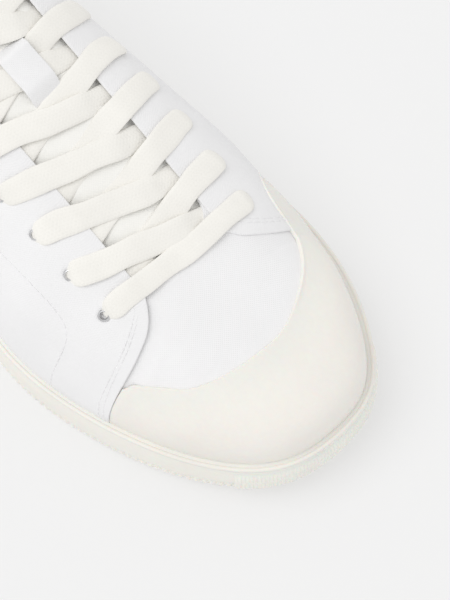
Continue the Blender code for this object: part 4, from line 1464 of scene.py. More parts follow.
def vamp_faces(side, girths, v):
    """Outer and inner face of one half of the vamp, rib by rib, drawn down where it slips under the
    quarter."""
    girth = np.repeat(girths[:, None], len(v), axis=1)
    share = VAMP_LOW_SHARE + (opening_share(side, girths)[:, None] - VAMP_LOW_SHARE) * v
    up, front = quarter_front(side)
    ahead = girth - np.interp(share / throat_share(side, np.minimum(girth, TOE_TURN_START)), up, front)
    tuck = VAMP_TUCK[side] * ramp(share, *VAMP_TUCK_RISE) * ramp(share, *VAMP_TUCK_FALL)
    off = VAMP_OFF - tuck * ramp(ahead, *VAMP_TUCK_REACH)
    off += puckers(side, girth, share) * ramp(share, *VAMP_PUCKER_RISE) * ramp(share, *VAMP_PUCKER_FALL)
    return [offset_surface(side, girth, share, at) for at in (off, off - mm(canvas().panel_wall))]


def make_vamp():
    """Vamp: the canvas over the toes, under the quarters' front edges and the cap. Its halves share their
    ribs, meet on the ridge line behind the toe centre and run together in one point there."""
    start = np.arange(girth_at(VAMP_BACK_X), TOE_TURN_START, VAMP_RIB_STEP)
    girths = np.r_[start, np.linspace(TOE_TURN_START, TOE_END, TOE_RIBS)]
    v = hem_steps(VAMP_HEIGHT, VAMP_CELL, HEM)
    closed = opening_share(RIGHT, girths) >= 1.0
    tip = len(start)
    faces = []
    for right, left in zip(*(vamp_faces(side, girths, v) for side in (RIGHT, LEFT))):
        ridge = 0.5 * (right[:, -1] + left[:, -1])
        ridge[tip:] = ridge[tip]
        for half in (right, left):
            half[closed, -1] = ridge[closed]
        faces.append(np.concatenate([right, left[-2::-1]]))
    outer, inner = faces
    span = np.r_[girths, 2 * TOE_END - girths[-2::-1]]
    beside = np.r_[np.flatnonzero(~closed), np.argmax(closed)]
    rims = [beside, (len(span) - 1 - beside)[::-1]]
    thin = np.array([0.0, 1.0])
    grids = [
        (outer, False, False, None, None),
        (inner, False, False, None, None),
        (np.stack([outer[:, 0], inner[:, 0]], 1), False, False, span, thin),
        *((np.stack([outer[rim, -1], inner[rim, -1]], 1), False, False, span[rim], thin) for rim in rims),
        *((np.stack([outer[end], inner[end]], 0), False, False, thin, v * VAMP_HEIGHT) for end in (0, -1)),
    ]
    write_piece("vamp", grids, canvas_finish(), ("upper",))


LINING_HEIGHT = 80.0
LINING_CELL = 2.4
LINING_HEM = 0.4
LINING_LOW_SHARE = 0.03
LINING_TOP_SHARE = 0.992
LINING_OFFS = (-1.05, -1.75)
LINING_THROAT_DROP = 3.2
LINING_NOSE = 4.0
LINING_COLLAR_DROP = 1.0
LINING_SEAM = 1.2


def make_lining():
    """Lining: the inner face of the upper from the footbed to just under its edges."""
    v = hem_steps(LINING_HEIGHT, LINING_CELL, LINING_HEM)
    faces, span = ([], []), []
    for side, girths, way in ribs_round(step=5):
        x = rib(side, girths)[0][:, 0]
        throat_drop = LINING_THROAT_DROP * ramp(THROAT_FRONT - x, 0.0, LINING_NOSE)
        drop = np.where(x > THROAT_BACK, throat_drop, LINING_COLLAR_DROP)
        top = share_drop(side, girths, np.minimum(opening_share(side, girths), LINING_TOP_SHARE), drop)
        girth = np.repeat(girths[:, None], len(v), axis=1)
        share = LINING_LOW_SHARE + (top[:, None] - LINING_LOW_SHARE) * v
        for face, off in zip(faces, LINING_OFFS):
            face.append(offset_surface(side, girth, share, off))
        span.append(way)
    outer, inner = (np.concatenate(face) for face in faces)
    points = np.concatenate([outer, inner[:, ::-1]], axis=1)
    u = np.concatenate(span)
    around = np.linspace(0, 2 * LINING_HEIGHT, points.shape[1] + 1)
    grid = (points, True, True, np.r_[u, u[-1] + LINING_SEAM], around)
    write_piece("lining", [grid], lining_finish())


COLLAR_END = 121.0
COLLAR_POINTS = 200
BINDING_DROP = 4.6
BINDING_WALL = 0.45
BINDING_LEGS = (1.0, -2.2)
BINDING_TURN_POINTS = 9
BINDING_TOP_FLAT = 0.8
BINDING_CORNER = (0.3, 0.25)
BINDING_SHOULDER = 4
BINDING_CUT = 9


def collar_line(down):
    """Side, girths and shares of a line `down` millimetres below the topline, from the outer facing to the
    heel and from there to the inner facing."""
    out = np.linspace(COLLAR_END, 0.0, COLLAR_POINTS)
    back = np.linspace(0.0, COLLAR_END, COLLAR_POINTS)[1:]
    return [(side, girths, share_drop(side, girths, collar_share(side, girths), down))
            for side, girths in ((RIGHT, out), (LEFT, back))]


def binding_section():
    """Section of the binding as (drop below the topline, height over the last): a long narrow arch of an
    outer leg, a flattened half circle and an inner leg, and back inside them."""
    outer, inner = BINDING_LEGS
    radius, centre = 0.5 * (outer - inner), 0.5 * (outer + inner)
    thin = radius - BINDING_WALL
    rise, run = BINDING_CORNER
    turn = np.linspace(0, np.pi, BINDING_TURN_POINTS)
    flat = radius * BINDING_TOP_FLAT
    return [
        (BINDING_DROP, outer - run),
        (BINDING_DROP - rise, outer),
        *((-flat * np.sin(a), centre + radius * np.cos(a)) for a in turn),
        (BINDING_DROP - rise, inner),
        (BINDING_DROP, inner + run),
        (BINDING_DROP, inner + BINDING_WALL),
        *((-(flat - BINDING_WALL) * np.sin(a), centre + thin * np.cos(a)) for a in turn[::-1]),
        (BINDING_DROP, outer - BINDING_WALL),
    ]


def make_collar_binding():
    """Binding: a tape folded over the topline. Its cloth is measured along the outer shoulder and round one
    cut through the tape."""
    rows = [np.concatenate([offset_surface(*spot, off) for spot in collar_line(down)])
            for down, off in binding_section()]
    points = capped(np.stack(rows, axis=1))
    shoulder, cut = points[:, BINDING_SHOULDER], points[BINDING_CUT]
    grid = (points, False, True, run_length(shoulder), closed_run_length(cut))
    write_piece("collar_binding", [grid], canvas_finish())


HEEL_STAY_SIZE = (17.0, 60.0)
HEEL_STAY_CELL = (0.9, 1.0)
HEEL_STAY_HEM = 0.5
HEEL_STAY_OFFS = (0.5, 1.15)
HEEL_STAY_TAPER = 0.25
HEEL_STAY_FOOT = 0.1
HEEL_STAY_DROP = BINDING_DROP - 0.6


def heel_stay_spot(side, girth, v):
    """Share of a place `v` up the heel stay."""
    top = share_drop(side, girth, collar_share(side, girth), HEEL_STAY_DROP)
    return HEEL_STAY_FOOT + (top - HEEL_STAY_FOOT) * v


def heel_stay_half(v):
    """Half width of the heel stay, which narrows towards its top."""
    return 0.5 * HEEL_STAY_SIZE[0] * (1 - HEEL_STAY_TAPER * v)


def make_heel_stay():
    """Heel stay: an upright canvas strip over the seam at the back of the heel."""
    def place(u, v, off):
        across = heel_stay_half(v) * (2 * u - 1)
        girth = np.abs(across)
        halves = (offset_surface(side, girth, heel_stay_spot(side, girth, v), off) for side in (RIGHT, LEFT))
        return np.where((across < 0)[..., None], *halves)

    grid = panel_grid(place, HEEL_STAY_SIZE, HEEL_STAY_CELL, HEEL_STAY_HEM, lambda u, v: HEEL_STAY_OFFS)
    write_piece("heel_stay", [grid], canvas_finish())


# ---------------- tongue and footbed

TONGUE_TOP_X = 92.0
TONGUE_FRONT_X = 208.0
TONGUE_CORNER = 14.0
TONGUE_HALF_WIDTH = (
    # x, half width
    (92.0, 25.0),
    (104.0, 30.0),
    (150.0, 28.0),
    (190.0, 26.0),
    (208.0, 22.0),
)
TONGUE_SIZE = (TONGUE_FRONT_X - TONGUE_TOP_X, 56.0)
TONGUE_CELL = (1.0, 1.0)
TONGUE_HEM = 0.8
TONGUE_WALL = 1.6
TONGUE_OFF = -1.9
TONGUE_CROWN = 1.35
TONGUE_CROWN_REACH = (16.5, 10.0)
TONGUE_CROWN_FALL = (105.0, 97.0)
TONGUE_ROLL = 0.35
TONGUE_ROLL_PLACE = 3.0
TONGUE_ROLL_SPREAD = 2.2
TONGUE_PUCKER = 0.08
TONGUE_RIPPLE = 0.05
TONGUE_WAVE_RISE = (0.02, 0.15)


def tongue_place(u, v, off):
    """Point of the tongue: u from its round top to its front end, v across."""
    x = TONGUE_TOP_X + TONGUE_SIZE[0] * u
    corner = 1 - np.clip((x - TONGUE_TOP_X) / TONGUE_CORNER, 0, 1)
    half = table(TONGUE_HALF_WIDTH, 1, x) - TONGUE_CORNER * (1 - np.sqrt(1 - corner ** 2))
    return on_upper(x, THROAT_CENTRE_Y + half * (2 * v - 1), off)


def tongue_wall(u, v):
    """Heights of the tongue's two faces: crowned between the facings, with a rolled top and two soft
    waves."""
    down = u * TONGUE_SIZE[0]
    crown = ramp(np.abs(v - 0.5) * TONGUE_SIZE[1], *TONGUE_CROWN_REACH) * ramp(down, *TONGUE_CROWN_FALL)
    roll = np.exp(-((down - TONGUE_ROLL_PLACE) / TONGUE_ROLL_SPREAD) ** 2)
    pucker = TONGUE_PUCKER * np.sin(u * 31.0) * np.sin(v * 5.0 + 0.4)
    wave = pucker + TONGUE_RIPPLE * np.sin(u * 67.0 + v * 4.0)
    high = TONGUE_OFF + TONGUE_CROWN * crown + TONGUE_ROLL * roll + wave * ramp(u, *TONGUE_WAVE_RISE)
    return high - TONGUE_WALL, high


def make_tongue():
    """Tongue: a lined canvas sheet under the facings, with a hemmed round top."""
    grid = panel_grid(tongue_place, TONGUE_SIZE, TONGUE_CELL, TONGUE_HEM, tongue_wall)
    write_piece("tongue_canvas", [grid], tongue_finish(), ("tongue",))


TAB_Y = 2.4
TAB_BACK_X = 124.0
TAB_REACH = 25.2
TAB_LENGTH = 27.0
TAB_CELL = (0.4, 0.4)
TAB_HALF_WALL = 0.4
TAB_SEAT = -1.75
TAB_ARCH = 4.2
TAB_RISE_X = (126.5, 130.5)
TAB_FALL_X = (147.6, 139.6)
TAB_DROOP = 0.5
TAB_SWAY = 0.15
TAB_SWAY_RUN = 2.7


def make_lace_tab():
    """Lace tab: a short canvas strip, sewn to the tongue at both ends and arched over one crossing of the
    lace."""
    width = mm(lace().tab_width)

    def place(u, v, off):
        x = TAB_BACK_X + TAB_REACH * u
        across = 2 * v - 1
        y = TAB_Y + 0.5 * width * across + TAB_SWAY * np.sin(x / TAB_SWAY_RUN)
        high = TAB_SEAT + TAB_ARCH * ramp(x, *TAB_RISE_X) * ramp(x, *TAB_FALL_X)
        droop = TAB_DROOP * across ** 2 * np.sin(np.pi * u)
        return on_upper(x, y, high + off - droop)

    grid = panel_grid(place, (TAB_LENGTH, width), TAB_CELL, TAB_HALF_WALL,
                      lambda u, v: (-TAB_HALF_WALL, TAB_HALF_WALL))
    write_piece("lace_tab", [grid], canvas_finish(), ("lace_keeper",))


FOOTBED_INSET = 2.3
FOOTBED_TOP = 11.4
FOOTBED_BASE = 8.4
FOOTBED_SHARES = (*np.linspace(0, 0.9, 26), 0.93, 0.955, 0.975, 0.99, 1.0)
FOOTBED_ROUND = 1.1
FOOTBED_ROUND_START = 0.93
FOOTBED_DIP = 0.9
FOOTBED_DIP_X = 32.0
FOOTBED_DIP_SPREAD = (24.0, 20.0)
FOOTBED_SEAM = 2.0
FOOTBED_WIDTH = 100.0


def make_footbed():
    """Footbed: a foam pad inside the upper, hollowed a little under the heel and covered with cloth."""
    shares = np.array(FOOTBED_SHARES)
    edge = FOOTBED_ROUND * np.clip((shares - FOOTBED_ROUND_START) / (1 - FOOTBED_ROUND_START), 0, 1) ** 2
    rows, span = [], []
    for side, girths, way in ribs_round(step=8):
        far = np.interp(girths, GIRTHS, UPPER_REACH[side]) - FOOTBED_INSET
        flat, _ = plan_ribs(side, girths, far, shares)
        x, y = flat[..., :1], flat[..., 1:]
        across, along = y / FOOTBED_DIP_SPREAD[1], (x - FOOTBED_DIP_X) / FOOTBED_DIP_SPREAD[0]
        dip = FOOTBED_DIP * np.exp(-along ** 2 - across ** 2)
        top = np.concatenate([flat, sole_lift(x) + FOOTBED_TOP - dip - edge[:, None]], -1)
        low = np.concatenate([flat, sole_lift(x) + FOOTBED_BASE], -1)
        rows.append(np.concatenate([top, low[:, ::-1]], axis=1))
        span.append(way)
    points = np.concatenate(rows)
    u = np.concatenate(span)
    around = np.linspace(0, FOOTBED_WIDTH, points.shape[1])
    grid = (points, True, False, np.r_[u, u[-1] + FOOTBED_SEAM], around)
    pad = write_piece("footbed", [grid], lining_finish(), ("insole",))


# ---------------- eyelets and lace

EYELET_SECTION = (
    # distance inside the rolled edge's outer radius, height over the last
    (0.75, -1.25),
    (0.70, 0.3),
    (0.60, 0.62),
    (0.38, 0.78),
    (0.15, 0.72),
    (0.00, 0.5),
    (0.10, 0.2),
    (0.40, -1.5),
)
EYELET_WELL = -1.25
EYELET_FOOT = -1.5
EYELET_SIDES = 32
EYELET_ROUND = 17.0
EYELET_ACROSS = 6.0


def eyelet_grid(x, y):
    """Eyelet over a plan place, turned about the last's own normal there."""
    radius = mm(lace().eyelet_radius)
    rim = [(radius - inside, height) for inside, height in EYELET_SECTION]
    section = np.array([(0.0, EYELET_WELL), *rim, (0.0, EYELET_FOOT)])
    centre = on_upper(x, y)
    out = unit(on_upper(x, y, 1.0) - centre)
    ahead = unit(np.cross(out, (0.0, 1.0, 0.0)))
    angle = np.arange(EYELET_SIDES)[:, None] * 2 * np.pi / EYELET_SIDES
    spokes = np.cos(angle) * ahead + np.sin(angle) * np.cross(out, ahead)
    points = centre + section[:, :1] * spokes[:, None] + section[:, 1:] * out
    around = np.linspace(0, EYELET_ROUND, EYELET_SIDES + 1)
    return points, True, False, around, np.linspace(0, EYELET_ACROSS, len(section))


def make_eyelets():
    """Eyelets: a rolled metal edge, a barrel down through the canvas and a closed well at its foot."""
    for side in (RIGHT, LEFT):
        for row, (x, y) in enumerate(eyelet_spots(side), start=1):
            place = f"{SIDE_NAMES[side]}_{row}"
            write_piece(f"eyelet_ring_{place}", [eyelet_grid(x, y)], eyelet_finish(),
                        (f"eyelet_{place}",), crease=50)


LACE_OUTER_RUN = (
    # y, height over the last: comes out under the inner facing, ends in an outer eyelet
    (19.0, -1.5),
    (15.0, -1.2),
    (11.5, -0.75),
    (8.0, 0.4),
    (5.0, 0.64),
    (-4.0, 0.64),
    (-10.0, 0.85),
    (-14.0, 1.25),
    (-26.0, 1.25),
)
LACE_INNER_RUN = (
    # y, height over the last: comes out under the outer facing, ends in an inner eyelet
    (-17.0, -1.4),
    (-13.5, -0.9),
    (-10.5, -0.45),
    (-4.0, -0.45),
    (3.0, -0.5),
    (8.0, -0.35),
    (11.5, 0.3),
    (15.0, 1.1),
    (19.0, 1.28),
    (31.0, 1.3),
)
LACE_BAR = (
    # y, height over the last: the straight bar between the first two eyelets
    (-26.0, 1.25),
    (-15.0, 1.25),
    (-11.0, 1.0),
    (-6.0, 0.72),
    (4.0, 0.68),
    (9.0, 0.85),
    (13.0, 1.15),
    (18.0, 1.3),
    (31.0, 1.3),
)
LACE_BAR_SHARE = 0.9
LACE_BAR_PULL = 1.2
LACE_BAR_BOW = 1.6
LACE_LEAD = {RIGHT: -3.1, LEFT: -2.2}
LACE_LEAD_MORE = 0.09
LACE_EXIT_Y = {RIGHT: -13.0, LEFT: 16.7}
LACE_BOW = {RIGHT: 1.6, LEFT: 0.0}
LACE_PAST = {RIGHT: 0.7, LEFT: 1.7}
LACE_TIP = {
    # share of the width left at the tip, length over which it narrows, drop of the tip, length of the drop
    RIGHT: (0.42, 5.2, 2.1, 2.8),
    LEFT: (0.62, 3.4, 1.3, 1.4),
}
LACE_TIP_SWELL = 0.7
LACE_TIP_SWELL_RUN = 4.0
# waves along the lace: height, length for one radian, lead for each further stretch
LACE_SWAY = ((0.25, 7.0, 1.7), (0.12, 2.9, 0.9))
LACE_WIDTH_WAVER = ((0.03, 3.7, 1.0), (0.02, 1.9, 0.0))
LACE_WALL_WAVER = ((0.06, 2.3, 2.0),)
LACE_ROLL = ((0.10, 8.0, 2.3),)
LACE_SWAY_FADE = 8.0
LACE_CELL = 0.45
LACE_SMOOTH = 9
LACE_SIDES = 28
LACE_SECTION_BEND = (0.55, 0.75)
LACE_SECTION_ROUND = 0.12
LACE_CLOTH_STEP = 3.1


def lace_runs():
    """Name, plan start, plan end, height table and bow towards the toe of every stretch of lace. A stretch
    starts under one facing, LACE_LEAD ahead of the last eyelet there, and ends LACE_PAST beyond its
    eyelet's centre."""
    spots = {side: eyelet_spots(side) + np.array([0.0, side * LACE_PAST[side]]) for side in (RIGHT, LEFT)}
    bar_start = spots[RIGHT][0] + np.array([0.0, LACE_BAR_PULL])
    runs = [("bar", bar_start, spots[LEFT][0], LACE_BAR, LACE_BAR_BOW)]
    for row in range(1, ROWS):
        for side, heights in ((RIGHT, LACE_OUTER_RUN), (LEFT, LACE_INNER_RUN)):
            exit_point = np.array([spots[-side][row - 1, 0] + LACE_LEAD[-side], LACE_EXIT_Y[-side]])
            goal = spots[side][row]
            start = exit_point + (exit_point - goal) * LACE_LEAD_MORE
            runs.append((f"{SIDE_NAMES[side]}_{row + 1}", start, goal, heights, LACE_BOW[side]))
    return runs


def waver(way, number, waves, level=0.0):
    """Waves along a stretch of lace, added to a level."""
    return sum((tall * np.sin(way / radian + lead * number) for tall, radian, lead in waves), level)


def lace_line(number, start, end, bow, bar):
    """Plan points of a stretch's middle line, the way along it, and its level direction across. The line
    sways a little and bows towards the toe."""
    length = np.linalg.norm(end - start)
    run = (end - start) / length
    aside = np.array([-run[1], run[0]])
    t = np.linspace(0, 1, int(length / LACE_CELL))
    way = t * length
    sway = waver(way, number, LACE_SWAY)
    sway *= ramp(length - way, 0, LACE_SWAY_FADE) * (ramp(way, 0, LACE_SWAY_FADE) if bar else 1.0)
    sway += np.sign(aside[0]) * bow * np.sin(np.pi * t)
    return start + (end - start) * t[:, None] + aside * sway[:, None], way, aside


def lace_size(number, way, to_end, least, taper, bar):
    """Half width and half thickness along a stretch. Both waver; towards an eyelet the band narrows like a
    quarter ellipse and thickens."""
    narrow = least + (1 - least) * np.sqrt(1 - (1 - np.clip(to_end / taper, 0, 1)) ** 2)
    full = 0.5 * mm(lace().lace_width) * (LACE_BAR_SHARE if bar else 1.0)
    wide = full * narrow * waver(way, number, LACE_WIDTH_WAVER, 1.0)
    swell = 1 + LACE_TIP_SWELL * (1 - ramp(to_end, 0, LACE_TIP_SWELL_RUN))
    thick = 0.5 * mm(lace().lace_wall) * swell * waver(way, number, LACE_WALL_WAVER, 1.0)
    return wide, thick


def lace_height(y, heights, drop):
    """Height over the last along a stretch: its table read at each point's y, less the drop, softly
    smoothed."""
    off = np.interp(y, *np.transpose(sorted(heights))) - drop
    kernel = np.hanning(LACE_SMOOTH)
    return np.convolve(np.pad(off, LACE_SMOOTH // 2, mode="edge"), kernel / kernel.sum(), mode="valid")


def lace_section():
    """Places across and up the band's section, a flat superellipse, from -1 to 1."""
    angle = np.arange(LACE_SIDES) * 2 * np.pi / LACE_SIDES
    flat, high = (np.sign(wave) * np.abs(wave) ** bend
                  for wave, bend in zip((np.cos(angle), np.sin(angle)), LACE_SECTION_BEND))
    return flat, high * (1 - LACE_SECTION_ROUND * np.cos(2 * angle))


def lace_grid(number, start, end, heights, bow, bar):
    """Closed band along a plan line, laid over the last and rolled a little from side to side."""
    middle, way, aside = lace_line(number, start, end, bow, bar)
    to_end = np.minimum(way[-1] - way, way) if bar else way[-1] - way
    least, taper, drop, drop_run = np.where(middle[:, 1:] < 0, LACE_TIP[RIGHT], LACE_TIP[LEFT]).T
    wide, thick = lace_size(number, way, to_end, least, taper, bar)
    off = lace_height(middle[:, 1], heights, drop * ramp(to_end, drop_run, 0.0))
    roll = waver(way, number, LACE_ROLL) * wide
    left = on_upper(*(middle + aside * wide[:, None]).T, off + roll)
    right = on_upper(*(middle - aside * wide[:, None]).T, off - roll)
    centre, half = 0.5 * (left + right), 0.5 * (left - right)
    normal = unit(np.cross(np.gradient(centre, axis=0), half))
    normal *= np.sign(normal[:, 2:])
    flat, high = lace_section()
    up = normal[:, None] * (thick[:, None] * high)[..., None]
    points = centre[:, None] + half[:, None] * flat[:, None] + up
    along = np.r_[way[0], way, way[-1]] + LACE_CLOTH_STEP * number
    return capped(points), False, True, along, np.r_[flat, flat[0]] * 0.5 * mm(lace().lace_width)


def make_laces():
    """Lace: the straight bar over the first row, then two crossing stretches for each row behind it."""
    for number, (name, *run) in enumerate(lace_runs()):
        bar = name == "bar"
        grid = lace_grid(number, *run, bar)
        write_piece(f"lace_{name}", [grid], lace_finish(), ("laces",) if bar else (), crease=80)


# ---------------- stitching

STITCH_ROWS = (
    # place up the quarter's front edge, distance of the first and of the second row behind it
    (0.15, 1.3, 2.8),
    (0.35, 2.3, 3.8),
    (0.55, 3.0, 4.1),
    (0.80, 3.7, 4.9),
    (0.95, 4.6, 5.8),
)
FACING_LINE = {
    # x, distance from the throat's middle line: the edge of the reinforcement inside the quarter
    RIGHT: (
        (108.0, 35.0),
        (130.0, 36.0),
        (150.0, 36.3),
        (168.0, 36.0),
        (180.0, 35.6),
        (187.5, 35.6),
        (191.2, 36.9),
        (192.7, 39.6),
        (192.9, 43.0),
        (192.7, 46.0),
    ),
    LEFT: (
        (108.0, 35.5),
        (130.0, 37.5),
        (150.0, 38.2),
        (168.0, 38.2),
        (182.0, 38.0),
    ),
}
STITCH_LINE_SPAN = (0.15, 0.94)
STITCH_LINE_POINTS = 160
FACING_LINE_POINTS = 240
COLLAR_STITCH_DROP = BINDING_DROP - 1.3
COLLAR_STITCH_OFF = 1.0
STAY_STITCH_SPAN = (0.22, 0.97)
STAY_STITCH_INSET = 1.8
STAY_STITCH_POINTS = 80


def stitched(side, girth, share, off):
    """Stitches along a line on the last."""
    off = np.broadcast_to(off, np.shape(girth))
    points, normals = offset_surface(side, girth, share, off), face_normal(side, girth, share)
    return stitches(points, normals, *stitch_size())


def stitch_size():
    """Pitch, length and thread radius of the stitches."""
    cloth = canvas()
    return mm(cloth.stitch_pitch), mm(cloth.stitch_length), mm(cloth.thread_radius)


def facing_line(side):
    """Girths and places up the rib of the edge of the reinforcement inside a quarter."""
    rows = FACING_LINE[side]
    place = np.linspace(0, len(rows) - 1, FACING_LINE_POINTS)
    x, across = (spline(np.arange(len(rows)), column, place) for column in zip(*rows))
    girth = girth_at(x)
    level = np.abs(THROAT_CENTRE_Y + side * across - table(RIDGE, 1, x))
    return girth, share_at_reach(side, girth, level) / panel_top(side, girth)


def make_quarter_stitching():
    """Two rows along each quarter's front edge and one round the reinforcement inside the facing."""
    v = np.linspace(*STITCH_LINE_SPAN, STITCH_LINE_POINTS)
    for side in (RIGHT, LEFT):
        front = np.interp(v, *quarter_front(side))
        lines = [(front - table(STITCH_ROWS, row, v), v) for row in (1, 2)]
        grids = []
        for girth, up in (*lines, facing_line(side)):
            grids += stitched(side, girth, up * panel_top(side, girth), quarter_off(side, girth, up))
        write_piece(f"quarter_stitching_{SIDE_NAMES[side]}", grids, thread_finish(), crease=80)


def make_collar_stitching():
    """One row along the binding and two up the heel stay."""
    line = collar_line(COLLAR_STITCH_DROP)
    points = np.concatenate([offset_surface(*spot, COLLAR_STITCH_OFF) for spot in line])
    normals = np.concatenate([face_normal(*spot) for spot in line])
    grids = stitches(points, normals, *stitch_size())
    v = np.linspace(*STAY_STITCH_SPAN, STAY_STITCH_POINTS)
    girth = heel_stay_half(v) - STAY_STITCH_INSET
    for side in (RIGHT, LEFT):
        grids += stitched(side, girth, heel_stay_spot(side, girth, v), HEEL_STAY_OFFS[1])
    write_piece("collar_stitching", grids, thread_finish(), crease=80)


# ---------------- stage

TARGET = (230.0, 0.0, 20.0)
FRAMING = (-7.53, 21.75)
KEY_FROM = (-0.26, -0.37, 1.0)
FLOOR_HALF = 3.0
SENSOR_WIDTH = 36.0
CLIP_START = 0.01


def add_floor(settings):
    """Pale paper floor."""
    corners = [(x * FLOOR_HALF, y * FLOOR_HALF, 0.0) for x, y in ((-1, -1), (1, -1), (1, 1), (-1, 1))]
    mesh = bpy.data.meshes.new("floor")
    mesh.from_pydata(corners, [], [(0, 1, 2, 3)])
    mesh.materials.append(paper_material("studio paper", settings.floor_colour, settings.floor_glow))
    floor = bpy.data.objects.new("floor", mesh)
    bpy.context.scene.collection.objects.link(floor)


def add_light(settings, target):
    """Even white sky and one wide soft light from above, a little from the heel and the outer side."""
    sky = bpy.data.worlds.new("studio sky")
    sky.use_nodes = True
    sky.node_tree.nodes["Background"].inputs["Color"].default_value = (1.0, 1.0, 1.0, 1.0)
    sky.node_tree.nodes["Background"].inputs["Strength"].default_value = settings.sky_strength
    bpy.context.scene.world = sky
    sun = bpy.data.lights.new("key", "SUN")
    sun.energy = settings.key_strength
    sun.angle = settings.key_spread
    key = bpy.data.objects.new("key", sun)
    key.location = target + np.array(KEY_FROM)
    key.rotation_euler = Vector(KEY_FROM).to_track_quat("Z", "Y").to_euler()
    bpy.context.scene.collection.objects.link(key)


def add_camera(settings, target):
    """Camera over the toe's outer side, aimed a little beside its target."""
    azimuth, elevation = settings.azimuth, settings.elevation
    level = np.array([np.sin(azimuth), -np.cos(azimuth), 0.0])
    back = level * np.cos(elevation) + np.array([0.0, 0.0, np.sin(elevation)])
    right = np.array([np.cos(azimuth), np.sin(azimuth), 0.0])
    up = np.cross(back, right)
    eye = target + back * settings.distance
    aim = target + (right * FRAMING[0] + up * FRAMING[1]) * MM
    away = unit(eye - aim)
    across = unit(np.cross(up, away))
    data = bpy.data.cameras.new("camera")
    data.lens = settings.lens
    data.sensor_width = SENSOR_WIDTH
    data.clip_start = CLIP_START
    camera = bpy.data.objects.new("camera", data)
    camera.location = eye
    camera.rotation_euler = Matrix(np.column_stack([across, np.cross(away, across), away])).to_euler()
    bpy.context.scene.collection.objects.link(camera)
    bpy.context.scene.camera = camera


def make_stage():
    """Floor, light and camera, with colours shown as they are."""
    settings = bpy.context.scene.sneaker_stage
    target = (np.array(TARGET) + SHIFT) * MM
    add_floor(settings)
    add_light(settings, target)
    add_camera(settings, target)
    bpy.context.scene.view_settings.view_transform = "Standard"


# ---------------- operators


class SNEAKER_OT_outsole(bpy.types.Operator):
    """Add the outsole with its tread and notched edge"""

    bl_idname = "sneaker.outsole"
    bl_label = "Outsole"

    def execute(self, context):
        make_outsole()
        return {"FINISHED"}


class SNEAKER_OT_foxing(bpy.types.Operator):
    """Add the foxing band, its rim and the ribbed toe bumper"""

    bl_idname = "sneaker.foxing"
    bl_label = "Foxing"

    def execute(self, context):
        make_foxing()
        make_foxing_rim()
        make_toe_bumper()
        return {"FINISHED"}


class SNEAKER_OT_footbed(bpy.types.Operator):
    """Add the padded footbed"""

    bl_idname = "sneaker.footbed"
    bl_label = "Footbed"

    def execute(self, context):
        make_footbed()
        return {"FINISHED"}


class SNEAKER_OT_lining(bpy.types.Operator):
    """Add the lining of the upper"""

    bl_idname = "sneaker.lining"
    bl_label = "Lining"

    def execute(self, context):
        make_lining()
        return {"FINISHED"}


class SNEAKER_OT_vamp(bpy.types.Operator):
    """Add the canvas vamp"""

    bl_idname = "sneaker.vamp"
    bl_label = "Vamp"

    def execute(self, context):
        make_vamp()
        return {"FINISHED"}


class SNEAKER_OT_quarters(bpy.types.Operator):
    """Add both canvas quarters"""

    bl_idname = "sneaker.quarters"
    bl_label = "Quarters"

    def execute(self, context):
        make_quarters()
        return {"FINISHED"}


class SNEAKER_OT_toe_cap(bpy.types.Operator):
    """Add the rubber toe cap"""

    bl_idname = "sneaker.toe_cap"
    bl_label = "Toe cap"

    def execute(self, context):
        make_toe_cap()
        return {"FINISHED"}


class SNEAKER_OT_collar(bpy.types.Operator):
    """Add the collar binding and the heel stay"""

    bl_idname = "sneaker.collar"
    bl_label = "Collar"

    def execute(self, context):
        make_collar_binding()
        make_heel_stay()
        return {"FINISHED"}


class SNEAKER_OT_stitching(bpy.types.Operator):
    """Add the rows of stitches"""

    bl_idname = "sneaker.stitching"
    bl_label = "Stitching"

    def execute(self, context):
        make_quarter_stitching()
        make_collar_stitching()
        return {"FINISHED"}


class SNEAKER_OT_tongue(bpy.types.Operator):
    """Add the tongue and its lace tab"""

    bl_idname = "sneaker.tongue"
    bl_label = "Tongue"

    def execute(self, context):
        make_tongue()
        make_lace_tab()
        return {"FINISHED"}


class SNEAKER_OT_eyelets(bpy.types.Operator):
    """Add the eyelets"""

    bl_idname = "sneaker.eyelets"
    bl_label = "Eyelets"

    def execute(self, context):
        make_eyelets()
        return {"FINISHED"}


class SNEAKER_OT_laces(bpy.types.Operator):
    """Add the laces"""

    bl_idname = "sneaker.laces"
    bl_label = "Laces"

    def execute(self, context):
        make_laces()
        return {"FINISHED"}


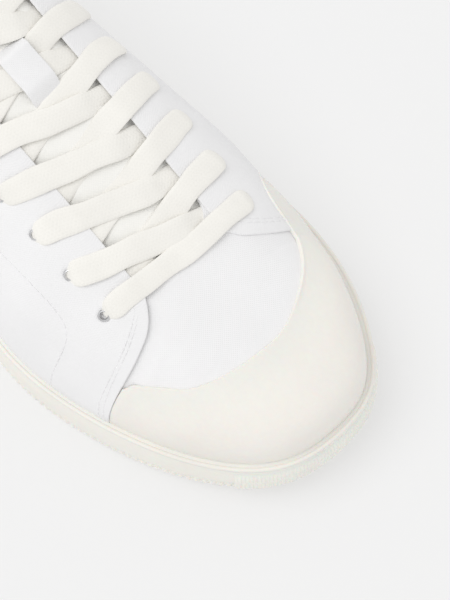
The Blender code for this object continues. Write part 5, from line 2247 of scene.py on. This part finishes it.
class SNEAKER_OT_stage(bpy.types.Operator):
    """Add floor, light and camera"""

    bl_idname = "sneaker.stage"
    bl_label = "Stage"

    def execute(self, context):
        make_stage()
        return {"FINISHED"}


OPERATORS = (
    SNEAKER_OT_outsole,
    SNEAKER_OT_foxing,
    SNEAKER_OT_footbed,
    SNEAKER_OT_lining,
    SNEAKER_OT_vamp,
    SNEAKER_OT_quarters,
    SNEAKER_OT_toe_cap,
    SNEAKER_OT_collar,
    SNEAKER_OT_stitching,
    SNEAKER_OT_tongue,
    SNEAKER_OT_eyelets,
    SNEAKER_OT_laces,
    SNEAKER_OT_stage,
)


class SNEAKER_PT_panel(bpy.types.Panel):
    """Sidebar panel with every step of the sneaker."""

    bl_label = "Canvas sneaker"
    bl_idname = "SNEAKER_PT_panel"
    bl_space_type = "VIEW_3D"
    bl_region_type = "UI"
    bl_category = "Sneaker"

    def draw(self, context):
        for made in OPERATORS:
            self.layout.operator(made.bl_idname)


SETTINGS = {
    "sneaker_rubber": SneakerRubberProperties,
    "sneaker_canvas": SneakerCanvasProperties,
    "sneaker_lace": SneakerLaceProperties,
    "sneaker_stage": SneakerStageProperties,
}


def register():
    """Registers settings, operators and panel."""
    for made in (*SETTINGS.values(), *OPERATORS, SNEAKER_PT_panel):
        bpy.utils.register_class(made)
    for name, made in SETTINGS.items():
        setattr(bpy.types.Scene, name, bpy.props.PointerProperty(type=made))


def unregister():
    """Takes away what register added."""
    for name in SETTINGS:
        delattr(bpy.types.Scene, name)
    for made in reversed((*SETTINGS.values(), *OPERATORS, SNEAKER_PT_panel)):
        bpy.utils.unregister_class(made)


def main():
    """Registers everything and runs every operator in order."""
    register()
    bpy.ops.sneaker.outsole()
    bpy.ops.sneaker.foxing()
    bpy.ops.sneaker.footbed()
    bpy.ops.sneaker.lining()
    bpy.ops.sneaker.vamp()
    bpy.ops.sneaker.quarters()
    bpy.ops.sneaker.toe_cap()
    bpy.ops.sneaker.collar()
    bpy.ops.sneaker.stitching()
    bpy.ops.sneaker.tongue()
    bpy.ops.sneaker.eyelets()
    bpy.ops.sneaker.laces()
    bpy.ops.sneaker.stage()


if __name__ == "__main__":
    main()
